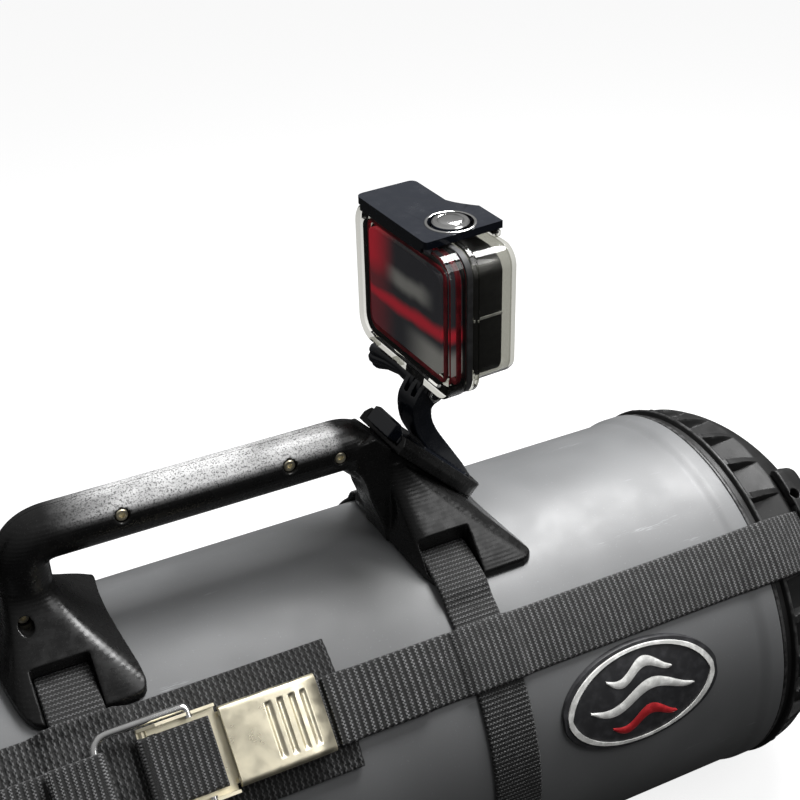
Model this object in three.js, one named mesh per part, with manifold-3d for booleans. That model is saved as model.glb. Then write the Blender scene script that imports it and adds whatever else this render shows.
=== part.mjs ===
// Diver propulsion vehicle: a sealed battery hull with a ribbed nose cap, a ducted
// propeller at the tail, a carry handle strapped on top, and an action camera in a
// clear dive housing on the handle's sloped front post.
// Frame: millimetres, X along the hull towards the nose, Z up through the carry
// handle. The origin is on the hull axis, where the nose cap meets the tube.

import * as THREE from "three";
import { mergeVertices } from "three/addons/utils/BufferGeometryUtils.js";
import Module from "manifold-3d";

const wasm = await Module();
wasm.setup();

// ---------------------------------------------------------------- driving sizes
const GAP = 0.35; // clearance between neighbouring pieces
const HULL_R = 100; // 200 mm pipe
const HULL_WALL = 6;
const HULL_LENGTH = 450;
const BORE_R = HULL_R - HULL_WALL;
const BELL_R = 101.5; // flared mouth of the tube
const NOSE_FACE_X = 73;
const RIBS = 28;
const RIB_START = 6.3; // angle of the first rib, degrees from the top
const POCKET_FLOOR_R = 94.6;
const STRAP_WIDTH = 25.4; // hoop straps
const WEBBING_LOW = 40.4; // lengthwise strap, degrees from the top
const WEBBING_HIGH = 57.9;
const WEBBING = 1.7; // webbing thickness
const FRONT_STRAP_X = -158.6;
const REAR_STRAP_X = -346.3;
const GRIP_R = 12.5;
const GRIP_Z = 153.4;
const POST_X = -350; // upright rear post
const SLOPE = THREE.MathUtils.degToRad(46); // front post's mounting face
const SLOPE_OFFSET = -20.1; // that face's distance from the origin, along its normal
const CAMERA_YAW = THREE.MathUtils.degToRad(6.4); // camera turned on the slope
const CAMERA_FOOT = new THREE.Vector3(-140.3, 0, 185.1);
const CASE_W = 83.6; // dive housing: width, height, rear face, front face
const CASE_H = 72.5;
const CASE_REAR = -19.5;
const CASE_FRONT = 19.5;
const PIVOT = { x: -7, z: -13.5 }; // housing tilt axis, in the housing's frame
const BUCKLE_ANGLE = 48.5; // buckle position, degrees from the top
const SHAFT_R = 6;
const PROP_R = 87;
const PROP_X = -541;
const SHROUD_R = 99.5;
const ROUND = 42; // segments of a hull-sized circle

const radians = THREE.MathUtils.degToRad;

// ------------------------------------------------------------------- materials
const finish = (color, roughness, metalness = 0) =>
  new THREE.MeshStandardMaterial({ color, roughness, metalness });
const M = {
  hull: finish(0xa9abad, 0.6),
  nose: finish(0x2b2b2c, 0.65),
  printed: finish(0x111213, 0.45),
  glossBlack: finish(0x0b0c10, 0.18),
  webbing: finish(0x17181a, 0.85),
  rubber: finish(0x1a1a1b, 0.8),
  steel: finish(0xc9c2ad, 0.3, 1),
  bright: finish(0xd8d8d4, 0.18, 1),
  alloy: finish(0xb0b3b6, 0.4, 1),
  iron: finish(0x4a4a4c, 0.6, 0.8),
  clear: finish(0xd9dddd, 0.08),
  red: finish(0xb31b28, 0.4),
  camera: finish(0x1c1e20, 0.5),
  battery: finish(0xd7a800, 0.5),
  board: finish(0x1f5a36, 0.6),
  cable: finish(0xb02222, 0.6),
};

// --------------------------------------------------------- solids and booleans
function toSolid(geometry) {
  const bare = geometry.clone();
  bare.deleteAttribute("normal");
  bare.deleteAttribute("uv");
  const merged = mergeVertices(bare, 1e-4);
  const mesh = new wasm.Mesh({
    numProp: 3,
    vertProperties: new Float32Array(merged.attributes.position.array),
    triVerts: new Uint32Array(merged.index.array),
  });
  return new wasm.Manifold(mesh);
}

function toGeometry(solid) {
  const mesh = solid.getMesh();
  const geometry = new THREE.BufferGeometry();
  const position = new THREE.BufferAttribute(mesh.vertProperties, 3);
  geometry.setAttribute("position", position);
  geometry.setIndex(new THREE.BufferAttribute(mesh.triVerts, 1));
  return geometry;
}

const cut = (geometry, ...tools) =>
  toGeometry(tools.reduce((s, t) => s.subtract(toSolid(t)), toSolid(geometry)));
const join = (geometry, ...others) =>
  toGeometry(others.reduce((s, t) => s.add(toSolid(t)), toSolid(geometry)));
const common = (a, b) => toGeometry(toSolid(a).intersect(toSolid(b)));

// ------------------------------------------------------------------ base shapes
// A ring or dome about the X axis from [x, radius] points.
function turned(points, segments = ROUND) {
  const loop = [...points];
  const onAxis = points[0][1] === 0 && points[points.length - 1][1] === 0;
  let area = 0;
  points.forEach(([x, r], i) => {
    const [nextX, nextR] = points[(i + 1) % points.length];
    area += r * nextX - nextR * x;
  });
  if (area < 0) loop.reverse();
  if (!onAxis) loop.push(loop[0]);
  const profile = loop.map(([x, r]) => new THREE.Vector2(r, x));
  const halfStep = Math.PI / segments;
  return new THREE.LatheGeometry(profile, segments, halfStep).rotateZ(-Math.PI / 2);
}

// The same about an axis along Y through (x, z), from [y, radius] points.
const turnedY = (points, x, z, segments = 16) =>
  turned(points, segments).rotateZ(Math.PI / 2).translate(x, 0, z);

function box(x0, x1, y0, y1, z0, z1) {
  const geometry = new THREE.BoxGeometry(x1 - x0, y1 - y0, z1 - z0);
  return geometry.translate((x0 + x1) / 2, (y0 + y1) / 2, (z0 + z1) / 2);
}

const rodX = (r, x0, x1, y = 0, z = 0, segments = 16) =>
  turned([[x0, 0], [x0, r], [x1, r], [x1, 0]], segments).translate(0, y, z);
const rodY = (r, y0, y1, x = 0, z = 0, segments = 16) =>
  turnedY([[y0, 0], [y0, r], [y1, r], [y1, 0]], x, z, segments);
const rodZ = (r, z0, z1, x = 0, y = 0, segments = 16) =>
  turned([[z0, 0], [z0, r], [z1, r], [z1, 0]], segments)
    .rotateY(-Math.PI / 2)
    .translate(x, y, 0);

// A plate whose outline is drawn in X and Z, from y0 to y1.
function plateXZ(shape, y0, y1, curveSegments = 6) {
  const options = { depth: y1 - y0, bevelEnabled: false, curveSegments };
  const plate = new THREE.ExtrudeGeometry(shape, options);
  return plate.rotateX(Math.PI / 2).translate(0, y1, 0);
}

// A plate whose outline is drawn in X and Y, from z0 to z1.
function plateXY(shape, z0, z1, curveSegments = 6) {
  const options = { depth: z1 - z0, bevelEnabled: false, curveSegments };
  return new THREE.ExtrudeGeometry(shape, options).translate(0, 0, z0);
}

// A plate whose outline is drawn in Y and Z, from x0 to x1.
function plateYZ(shape, x0, x1, curveSegments = 4) {
  const options = { depth: x1 - x0, bevelEnabled: false, curveSegments };
  const plate = new THREE.ExtrudeGeometry(shape, options);
  return plate.rotateX(Math.PI / 2).rotateZ(Math.PI / 2).translate(x0, 0, 0);
}

const outline = (points) =>
  new THREE.Shape(points.map(([a, b]) => new THREE.Vector2(a, b)));

function roundedRectangle(a0, a1, b0, b1, r) {
  const shape = new THREE.Shape();
  shape.moveTo(a0 + r, b0);
  shape.lineTo(a1 - r, b0);
  shape.absarc(a1 - r, b0 + r, r, -Math.PI / 2, 0, false);
  shape.lineTo(a1, b1 - r);
  shape.absarc(a1 - r, b1 - r, r, 0, Math.PI / 2, false);
  shape.lineTo(a0 + r, b1);
  shape.absarc(a0 + r, b1 - r, r, Math.PI / 2, Math.PI, false);
  shape.lineTo(a0, b0 + r);
  shape.absarc(a0 + r, b0 + r, r, Math.PI, Math.PI * 1.5, false);
  return shape;
}

// Triangles that fill a ring, turning the same way as the ring itself.
function capTriangles(ring) {
  const normal = new THREE.Vector3();
  ring.forEach((p, i) => {
    normal.add(new THREE.Vector3().crossVectors(p, ring[(i + 1) % ring.length]));
  });
  normal.normalize();
  const flat = new THREE.Quaternion().setFromUnitVectors(normal, at(0, 0, 1));
  const contour = ring.map((p) => {
    const { x, y } = p.clone().applyQuaternion(flat);
    return new THREE.Vector2(x, y);
  });
  return THREE.ShapeUtils.triangulateShape(contour, []);
}

// A closed skin through rings of equal point counts, capped at both ends.
function loft(rings) {
  const count = rings[0].length;
  const vertices = rings.flat().flatMap((p) => [p.x, p.y, p.z]);
  const index = [];
  for (let ring = 0; ring + 1 < rings.length; ring++) {
    for (let i = 0; i < count; i++) {
      const a = ring * count + i;
      const b = ring * count + ((i + 1) % count);
      index.push(a, b, b + count, a, b + count, a + count);
    }
  }
  const last = rings.length - 1;
  for (const [a, b, c] of capTriangles(rings[0])) index.push(c, b, a);
  for (const [a, b, c] of capTriangles(rings[last])) {
    index.push(last * count + a, last * count + b, last * count + c);
  }
  const geometry = new THREE.BufferGeometry();
  const position = new THREE.Float32BufferAttribute(vertices, 3);
  geometry.setAttribute("position", position);
  geometry.setIndex(index);
  if (toSolid(geometry).volume() < 0) geometry.setIndex(index.reverse());
  return geometry;
}

function circlePoints(radius, sides, a = 0, b = 0) {
  const points = [];
  for (let i = 0; i < sides; i++) {
    const turn = (i / sides) * Math.PI * 2;
    points.push(new THREE.Vector2(a + radius * Math.cos(turn), b + radius * Math.sin(turn)));
  }
  return points;
}

// A rod of round section along a path of lines and bends.
function bentRod(path, radius, sides = 8, bendSteps = 5) {
  const rings = [];
  const axis = new THREE.Vector3();
  const across = new THREE.Vector3();
  for (const curve of path.curves) {
    const steps = curve.isLineCurve3 ? 1 : bendSteps;
    for (let i = rings.length ? 1 : 0; i <= steps; i++) {
      const tangent = curve.getTangent(i / steps);
      if (rings.length) {
        const turn = new THREE.Quaternion().setFromUnitVectors(axis, tangent);
        across.applyQuaternion(turn);
      } else {
        const spare = Math.abs(tangent.y) > 0.8 ? at(1, 0, 0) : at(0, 1, 0);
        across.crossVectors(tangent, spare).normalize();
      }
      axis.copy(tangent);
      const side = new THREE.Vector3().crossVectors(axis, across);
      const centre = curve.getPoint(i / steps);
      rings.push(
        circlePoints(radius, sides).map(({ x, y }) =>
          centre.clone().addScaledVector(across, x).addScaledVector(side, y),
        ),
      );
    }
  }
  return loft(rings);
}

// A straight-and-arc path: each corner is a point with a bend radius.
function filletPath(corners) {
  const path = new THREE.CurvePath();
  let start = corners[0].point;
  for (let i = 1; i + 1 < corners.length; i++) {
    const { point, bend } = corners[i];
    const back = corners[i - 1].point.clone().sub(point).normalize();
    const ahead = corners[i + 1].point.clone().sub(point).normalize();
    const reach = bend / Math.tan(back.angleTo(ahead) / 2);
    const enter = point.clone().addScaledVector(back, reach);
    const leave = point.clone().addScaledVector(ahead, reach);
    path.add(new THREE.LineCurve3(start, enter));
    path.add(new THREE.QuadraticBezierCurve3(enter, point, leave));
    start = leave;
  }
  path.add(new THREE.LineCurve3(start, corners[corners.length - 1].point));
  return path;
}

const at = (x, y, z) => new THREE.Vector3(x, y, z);
// A point on a cylinder about the hull axis, by angle from the top to the -Y side.
const onHull = (x, r, degrees) =>
  at(x, -r * Math.sin(radians(degrees)), r * Math.cos(radians(degrees)));

// A band that follows the hull lengthwise: path is a list of [x, inner radius],
// where the radius can also be a function of the angle.
function lengthwiseBand(path, low, high, thickness, across = 4, endSkew = 0) {
  const rings = path.map(([x, radius], i) => {
    const skew = i === path.length - 1 ? endSkew : 0;
    const point = (share, lift) => {
      const degrees = low + (high - low) * share;
      const r = typeof radius === "function" ? radius(degrees) : radius;
      return onHull(x + skew * share, r + lift, degrees);
    };
    const ring = [];
    for (let k = 0; k <= across; k++) ring.push(point(k / across, 0));
    for (let k = across; k >= 0; k--) ring.push(point(k / across, thickness));
    return ring;
  });
  return loft(rings);
}

const smooth = (a, b, v) => THREE.MathUtils.smoothstep(v, a, b);

// Every piece is drawn in the hull's frame, which starts where the nose cap meets the tube. The
// whole vehicle then moves back, so that the part's origin is the middle of the flat nose face.
const root = new THREE.Group();
const vehicle = new THREE.Group();
vehicle.position.x = -NOSE_FACE_X;
root.add(vehicle);

function add(name, geometry, material, parent = vehicle) {
  const mesh = new THREE.Mesh(geometry, material);
  mesh.name = name;
  parent.add(mesh);
  return mesh;
}

// ------------------------------------------------------------------- hull tube
function hullTube() {
  return turned([
    [-HULL_LENGTH, HULL_R],
    [-14, HULL_R],
    [-8, BELL_R],
    [0, BELL_R],
    [0, BORE_R],
    [-HULL_LENGTH, BORE_R],
  ]);
}

// -------------------------------------------------------------------- nose cap
const DOME_X = 3.9; // the dome is an ellipse from here
const DOME_LENGTH = 75.5;
const DOME_R = 102.1;
const domeRadius = (x) =>
  DOME_R * Math.sqrt(1 - Math.max(0, (x - DOME_X) / DOME_LENGTH) ** 2);

function domeProfile(offset, from, to, steps) {
  const points = [];
  for (let i = 0; i <= steps; i++) {
    const x = from + ((to - from) * Math.sin((Math.PI / 2) * (i / steps)));
    points.push([x, domeRadius(x) + offset]);
  }
  return points;
}

function noseCap() {
  const shell = turned([
    [GAP, 93.6],
    [GAP, 101.2],
    [2.6, 101.2],
    [3.2, 99.6],
    [6.4, 99.6],
    [7, 102.4],
    ...domeProfile(0, 10, NOSE_FACE_X, 7),
    [NOSE_FACE_X, 0],
    [67, 0],
    [60, 52],
    [42, 76],
    [24, 88],
    [-30, 88],
    [-30, 93.6],
    [-17, 93.6],
    [-17, 90.8],
    [-13, 90.8],
    [-13, 93.6],
  ]);
  const pitch = 360 / RIBS;
  const pockets = [];
  for (let k = 0; k < RIBS; k++) {
    const pocket = box(9.5, 40, -9.1, 9.1, POCKET_FLOOR_R, 112);
    pockets.push(pocket.rotateX(radians(RIB_START + (k + 0.5) * pitch)));
  }
  return cut(shell, ...pockets);
}

const sealRing = (x) =>
  turned([[x - 1.4, 92.3], [x, 93.55], [x + 1.4, 92.3], [x, 91.15]]);

// Strap anchor on the nose: a lug with a slot for the strap and two screw holes.
const ANCHOR_BACK = 33.4;
const ANCHOR_FRONT = 52;
const ANCHOR_R = 100;
function noseAnchor() {
  const half = 23;
  const rings = [];
  for (const [x, r] of [[ANCHOR_BACK, ANCHOR_R], [45, ANCHOR_R - 3], [ANCHOR_FRONT, 88]]) {
    const ring = [];
    for (let k = 0; k <= 6; k++) ring.push(onHull(x, 70, BUCKLE_ANGLE - half + (k * half) / 3));
    for (let k = 6; k >= 0; k--) {
      const rim = k === 0 || k === 6 ? 2.5 : 0;
      ring.push(onHull(x, r - rim, BUCKLE_ANGLE - half + (k * half) / 3));
    }
    rings.push(ring);
  }
  const dome = turned([[20, 0], ...domeProfile(GAP, 20, 72, 10), [72, 0]]);
  const slot = box(30, 48, -17, 17, 93.2, 97.6).rotateX(radians(BUCKLE_ANGLE));
  const holes = [-13, 13].map((side) =>
    rodZ(2.9, 80, 110, ANCHOR_BACK + 3.4, 0, 12).rotateX(radians(BUCKLE_ANGLE + side)),
  );
  return cut(loft(rings), dome, slot, ...holes);
}

// ------------------------------------------------------------------------ tail
const CONE = [
  [-450.4, 101],
  [-457, 101],
  [-470, 95],
  [-500, 66],
  [-518, 47],
  [-523, 40],
];
function tailHousing() {
  return turned([
    [-425, 93.6],
    [-431, 93.6],
    [-431, 90.8],
    [-435, 90.8],
    [-435, 93.6],
    [-450.4, 93.6],
    ...CONE,
    [-523, 36.4],
    [-500, 36.4],
    [-494, 50],
    [-468, 83],
    [-455, 88],
    [-425, 88],
  ]);
}

const motorHousing = () =>
  turned([[-438, 36], [-520, 36], [-520, 11.4], [-508, 11.4], [-508, 33], [-438, 33]], 24);
const motorEndCap = () =>
  turned([[-444.5, 32.6], [-438.4, 32.6], [-438.4, 11.4], [-444.5, 11.4]], 24);
const bearing = (x) =>
  turned([[x, SHAFT_R + GAP], [x, 11], [x + 5.5, 11], [x + 5.5, SHAFT_R + GAP]], 16);
const shaftSeal = () =>
  turned([[-520, SHAFT_R + GAP], [-520, 11], [-515.2, 11], [-515.2, SHAFT_R + GAP]], 16);
const motorStator = () =>
  turned([[-502, 25.4], [-502, 32.6], [-453, 32.6], [-453, 25.4]], 24);
const motorRotor = () =>
  turned([[-500, SHAFT_R + GAP], [-500, 24.6], [-455, 24.6], [-455, SHAFT_R + GAP]], 24);

// A blade section: a thin lens turned to the local pitch.
function bladeRing(radius) {
  const chord = 50 - 0.22 * (radius - 20);
  const pitch = radians(62 - 0.42 * (radius - 20));
  const half = 1.1 + 2.4 * (1 - radius / PROP_R);
  const ring = [];
  for (let i = 0; i < 8; i++) {
    const a = (i / 8) * Math.PI * 2;
    const along = (chord / 2) * Math.cos(a);
    const up = half * Math.sin(a);
    const x = PROP_X + along * Math.cos(pitch) * 0.62 - up * Math.sin(pitch);
    const y = along * Math.sin(pitch) + up * Math.cos(pitch);
    ring.push(at(x, y, Math.sqrt(Math.max(1, radius * radius - y * y))));
  }
  return ring;
}

function propeller() {
  const hub = turned(
    [
      [PROP_X + 17, SHAFT_R + GAP],
      [PROP_X + 17, 27],
      [PROP_X, 27],
      [PROP_X - 18, 21],
      [PROP_X - 18, SHAFT_R + GAP],
    ],
    24,
  );
  const blades = [0, 120, 240].map((turn) =>
    loft([22, 42, 66, PROP_R].map(bladeRing)).rotateX(radians(turn)),
  );
  return join(hub, ...blades);
}

const propellerNut = () =>
  turned([[-559.5, 0], [-559.5, 12], [-565, 11], [-571, 6], [-573, 0]], 16);
const driveShaft = () => rodX(SHAFT_R, -559, -436, 0, 0, 16);

function shroud() {
  const ring = turned([
    [-516, 96],
    [-522, SHROUD_R],
    [-560, SHROUD_R],
    [-578, 95.5],
    [-530, 92.8],
  ]);
  const strut = outline([
    [-470, 95],
    [-470, 80],
    [-508, 50],
    [-517, 60],
    [-522, 90],
    [-522, 95],
    [-512, 98],
    [-480, 97],
  ]);
  const struts = [45, 135, 225, 315].map((turn) =>
    plateXZ(strut, -2.6, 2.6).rotateX(radians(turn)),
  );
  const cone = turned([
    [-440, 0],
    [-440, 101 + GAP],
    [-457, 101 + GAP],
    [-470, 95 + GAP],
    [-500, 66 + GAP],
    [-518, 47 + GAP],
    [-530, 32],
    [-530, 0],
  ]);
  return cut(join(ring, ...struts), cone);
}

// ---------------------------------------------------- batteries and electronics
const TRAY_Z = -50;
function batteryTray() {
  const section = outline([
    [-62, TRAY_Z],
    [62, TRAY_Z],
    [62, TRAY_Z + 14],
    [58, TRAY_Z + 14],
    [58, TRAY_Z + 4],
    [-58, TRAY_Z + 4],
    [-58, TRAY_Z + 14],
    [-62, TRAY_Z + 14],
  ]);
  return plateYZ(section, -385, -70);
}

function batteryPack(x) {
  const body = box(x, x + 128, -40, 40, TRAY_Z + 4.4, TRAY_Z + 62);
  const rails = box(x + 6, x + 84, -28, 28, TRAY_Z + 61, TRAY_Z + 72);
  return join(body, rails);
}

const motorController = () => box(-418, -398, -34, 34, -30, 30);
const trimWeight = () => box(-330, -120, -40, 40, -80, -56);

function powerCable() {
  const path = filletPath([
    { point: at(-397, 0, 22) },
    { point: at(-388, 0, 22), bend: 5 },
    { point: at(-388, 0, 40), bend: 8 },
    { point: at(-226, 0, 40), bend: 8 },
    { point: at(-226, 0, -20) },
  ]);
  return bentRod(path, 3, 6, 3);
}

// ----------------------------------------------------------- straps and webbing
// A hoop strap: it runs under each saddle foot, up through the foot's slot and
// over the foot's outer edge, then round the hull.
const SLOT_IN = 12;
const SLOT_OUT = 20;
const STRAP_SEAT_R = 103; // strap level on a foot's outer edge
function hoopRadius(degrees) {
  const a = Math.abs(degrees);
  const base = HULL_R + 0.5;
  const rise = STRAP_SEAT_R + 0.4 - base;
  if (a < 25) return base + rise * smooth(SLOT_IN, 19, a);
  return base + rise * (1 - smooth(29.8, 35.5, a));
}

function hoopStrap(x) {
  const outer = new THREE.Shape();
  const inner = new THREE.Path();
  const angles = [];
  for (let a = -40; a < 40; a += 2.5) angles.push(a);
  for (let a = 40; a < 320; a += 8) angles.push(a);
  const place = (a, extra) => {
    const r = hoopRadius(a > 180 ? a - 360 : a) + extra;
    return new THREE.Vector2(r * Math.sin(radians(a)), r * Math.cos(radians(a)));
  };
  outer.setFromPoints(angles.map((a) => place(a, WEBBING)).reverse());
  inner.setFromPoints(angles.map((a) => place(a, 0)));
  outer.holes.push(inner);
  return plateYZ(outer, x - STRAP_WIDTH / 2, x + STRAP_WIDTH / 2, 1);
}

const HOOP_TOP = HULL_R + 0.5 + WEBBING; // outside of a hoop strap
const PAD = 2.2;
const PAD_EDGE_X = -233;
const PAD_R = HULL_R + 0.6;

function bucklePad() {
  const over = (degrees) => hoopRadius(degrees) + WEBBING + GAP + 0.2;
  const path = [
    [-425, PAD_R],
    [-368, PAD_R],
    [-362, over],
    [-331, over],
    [-325, PAD_R],
    [PAD_EDGE_X, PAD_R],
  ];
  return lengthwiseBand(path, 30.5, 65, PAD, 12);
}

// The long strap's underside, as [x, radius], from the buckle to the nose anchor.
const LONG_STRAP = [
  [-300, PAD_R + PAD + GAP],
  [PAD_EDGE_X, PAD_R + PAD + GAP],
  [-226, PAD_R],
  [-176, PAD_R],
  [-172.5, HOOP_TOP + GAP],
  [-144.5, HOOP_TOP + GAP],
  [-141, PAD_R],
  [-18, PAD_R],
  [-9, BELL_R + 0.6],
  [2, BELL_R + 0.7],
  [7, 103.1],
  [14, domeRadius(14) + 0.7],
  [22, domeRadius(22) + 0.8],
  [28, domeRadius(28) + 1],
  [33, 95],
  [46, 94.9],
];
// Its free end lies doubled on top, cut at a slant.
function longStrap() {
  const lift = WEBBING - 0.1;
  const doubled = [
    [-240, PAD_R + PAD + GAP + lift],
    [PAD_EDGE_X, PAD_R + PAD + GAP + lift],
    [-225, PAD_R + lift + 0.2],
    [-178, PAD_R + lift],
  ];
  return join(
    lengthwiseBand(LONG_STRAP, WEBBING_LOW, WEBBING_HIGH, WEBBING, 4),
    lengthwiseBand(doubled, WEBBING_LOW, WEBBING_HIGH, WEBBING, 4, -18),
  );
}

// ----------------------------------------------------------------- lever buckle
// Built flat in its own frame: z is height above the hull, y up the hull's side.
const buckle = new THREE.Group();
buckle.rotation.x = radians(BUCKLE_ANGLE);
vehicle.add(buckle);
const LEVER_PIVOT = { x: -289, z: 108.6 };
const LEVER_HOLE_R = 1.35;
const BAIL_PIVOT = { x: -303, z: 109.6 };
const PLATE_Z = 105.3;

function buckleFrame() {
  const plate = box(-318, -258, -16, 16, PLATE_Z, PLATE_Z + 1.2);
  const arms = [-1, 1].map((side) => {
    const y0 = side > 0 ? 15.9 : -19.9;
    return box(-326, -291.2, y0, y0 + 4, PLATE_Z, PLATE_Z + 1.2);
  });
  const rails = [-1, 1].map((side) => {
    const rail = outline([
      [-326, PLATE_Z],
      [-291.2, PLATE_Z],
      [-291.2, 111.4],
      [-318, 112.4],
      [-326, 109],
    ]);
    return plateXZ(rail, side > 0 ? 18.5 : -19.9, side > 0 ? 19.9 : -18.5);
  });
  const lugs = [-1, 1].map((side) => {
    const y0 = side > 0 ? 13.8 : -15.2;
    const { x, z } = LEVER_PIVOT;
    const neck = box(x - 2.1, x + 6, y0, y0 + 1.4, PLATE_Z, z);
    return join(neck, rodY(2.15, y0, y0 + 1.4, x, z, 12));
  });
  const crossbar = rodY(1.6, -19, 19, -323.5, 106.9, 10);
  const body = join(plate, ...arms, ...rails, ...lugs, crossbar);
  const bailHoles = rodY(2.5, -24, 24, BAIL_PIVOT.x, BAIL_PIVOT.z, 12);
  const pinHoles = rodY(LEVER_HOLE_R, -24, 24, LEVER_PIVOT.x, LEVER_PIVOT.z, 10);
  return cut(body, bailHoles, pinHoles);
}

const leverPin = () => rodY(1, -17.8, 17.8, LEVER_PIVOT.x, LEVER_PIVOT.z, 10);

function buckleLever() {
  const skin = new THREE.Shape();
  skin.moveTo(-290, 110.9);
  skin.lineTo(-256, 111.4);
  skin.quadraticCurveTo(-247, 111.2, -244.4, 107.8);
  skin.lineTo(-244.4, 109.6);
  skin.quadraticCurveTo(-246.5, 112.9, -256, 113);
  skin.lineTo(-290, 112.5);
  const cover = plateXZ(skin, -17.9, 17.9, 4);
  const cheek = new THREE.Shape();
  cheek.moveTo(-290.4, 112.2);
  cheek.lineTo(-291, 108.6);
  cheek.lineTo(-290.4, 107);
  cheek.lineTo(-280, 106.9);
  cheek.lineTo(-246, 107.6);
  cheek.lineTo(-245.3, 109.2);
  cheek.lineTo(-254, 112);
  const cheeks = [-17.9, 16.5].map((y) => plateXZ(cheek, y, y + 1.4, 2));
  const hole = rodY(LEVER_HOLE_R, -24, 24, LEVER_PIVOT.x, LEVER_PIVOT.z, 10);
  return cut(join(cover, ...cheeks), hole);
}

// A wire loop whose two ends turn inwards into the frame's rails.
function buckleBail() {
  const { x, z } = BAIL_PIVOT;
  const path = filletPath([
    { point: at(x, 17.4, z) },
    { point: at(x, 22.4, z), bend: 2.6 },
    { point: at(-345, 22.4, z), bend: 8 },
    { point: at(-345, -22.4, z), bend: 8 },
    { point: at(x, -22.4, z), bend: 2.6 },
    { point: at(x, -17.4, z) },
  ]);
  return bentRod(path, 1.9, 8, 4);
}

// Webbing folded round a bar: a flat U from x0, turning at xTurn.
function foldedWebbing(x0, x1, xTurn, zMid, inner, outer, half) {
  const shape = new THREE.Shape();
  shape.moveTo(x0, zMid + inner);
  shape.lineTo(xTurn, zMid + inner);
  const side = x0 > xTurn ? false : true;
  shape.absarc(xTurn, zMid, inner, Math.PI / 2, -Math.PI / 2, side);
  shape.lineTo(x1, zMid - inner);
  shape.lineTo(x1, zMid - outer);
  shape.lineTo(xTurn, zMid - outer);
  shape.absarc(xTurn, zMid, outer, -Math.PI / 2, Math.PI / 2, !side);
  shape.lineTo(x0, zMid + outer);
  return plateXZ(shape, -half, half, 5);
}
const frontFold = () => foldedWebbing(-294.5, -319, -323.5, 106.9, 2, 3.6, 15.6);
// The rear strap folds round the bail's rear bar, and its run goes on to the tail.
const rearFold = () => foldedWebbing(-366, -366, -345, 109.6, 2.3, 3.9, 15.8);
function rearStrap() {
  const onPad = PAD_R + PAD + GAP + 0.3;
  const path = [
    [-441, PAD_R],
    [-431, PAD_R],
    [-424, onPad],
    [-366.6, onPad],
  ];
  return lengthwiseBand(path, WEBBING_LOW - 0.4, WEBBING_HIGH - 0.6, WEBBING, 4);
}

// ----------------------------------------------------------------- hull badge
function hullBadge() {
  const rings = [];
  for (let i = 0; i <= 10; i++) {
    const share = i / 10;
    const x = -131 + 89 * share;
    const half = 15.5 * Math.sqrt(1 - (2 * share - 1) ** 2 * 0.86);
    const ring = [];
    for (let k = 0; k <= 4; k++) ring.push(onHull(x, HULL_R + GAP, 74.5 - half + (k * half) / 2));
    for (let k = 4; k >= 0; k--) ring.push(onHull(x, HULL_R + 2.8, 74.5 - half + (k * half) / 2));
    rings.push(ring);
  }
  return loft(rings);
}

// ---------------------------------------------------------------- carry handle
// A rounded rectangle with rounding that grows from a circle towards a box.
function footRing(centre, halfX, halfY, power, height) {
  const ring = [];
  const count = 24;
  for (let i = 0; i < count; i++) {
    const a = ((i + 0.5) / count) * Math.PI * 2;
    const c = Math.cos(a);
    const s = Math.sin(a);
    const grow = (Math.abs(c) ** power + Math.abs(s) ** power) ** (-1 / power);
    const x = centre + halfX * grow * c;
    const y = halfY * grow * s;
    ring.push(height(x, y));
  }
  return ring;
}

// A saddle foot flaring from a post to a curved rectangle on the hull.
function saddleFoot(post, foot) {
  const rings = [];
  const steps = [0, 0.25, 0.5, 0.7, 0.86, 1];
  const edge = (y) => Math.sqrt(Math.max(1, foot.edgeR ** 2 - y * y));
  for (const t of steps) {
    const mix = (a, b, ease) => a + (b - a) * t ** ease;
    const centre = mix(post.x, foot.x, 1.2);
    const halfX = mix(post.halfX, foot.halfX, 2);
    const halfY = mix(post.halfY, foot.halfY, 1.9);
    const power = mix(2.2, 9, 1.2);
    rings.push(
      footRing(centre, halfX, halfY, power, (x, y) => {
        const bow = foot.bow * t * (y / foot.halfY) ** 2;
        return at(x + bow, y, post.z + (edge(y) - post.z) * t);
      }),
    );
  }
  const skirt = rings[rings.length - 1].map((p) => at(p.x, p.y, 60));
  return loft([...rings, skirt]);
}

// The space a hoop strap needs at a foot: under it, through its slots and over its edge.
function strapRelief(x) {
  const x0 = x - STRAP_WIDTH / 2 - 0.6;
  const x1 = x + STRAP_WIDTH / 2 + 0.6;
  const wedge = (r0, r1, a0, a1) => {
    const points = [];
    for (let k = 0; k <= 4; k++) {
      const a = radians(a0 + ((a1 - a0) * k) / 4);
      points.push([r1 * Math.sin(a), r1 * Math.cos(a)]);
    }
    for (let k = 4; k >= 0; k--) {
      const a = radians(a0 + ((a1 - a0) * k) / 4);
      points.push([r0 * Math.sin(a), r0 * Math.cos(a)]);
    }
    return plateYZ(outline(points), x0, x1);
  };
  const under = wedge(95, HOOP_TOP + 0.5, -SLOT_OUT, SLOT_OUT);
  const sides = [-1, 1].flatMap((side) => {
    const [a, b] = [side * SLOT_IN, side * SLOT_OUT].sort((p, q) => p - q);
    const [c, d] = [side * (SLOT_OUT - 0.5), side * 33].sort((p, q) => p - q);
    return [wedge(95, 118, a, b), wedge(STRAP_SEAT_R, 118, c, d)];
  });
  return [under, ...sides];
}

const slopeZ = (x) => (SLOPE_OFFSET - x * Math.sin(SLOPE)) / Math.cos(SLOPE);

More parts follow.
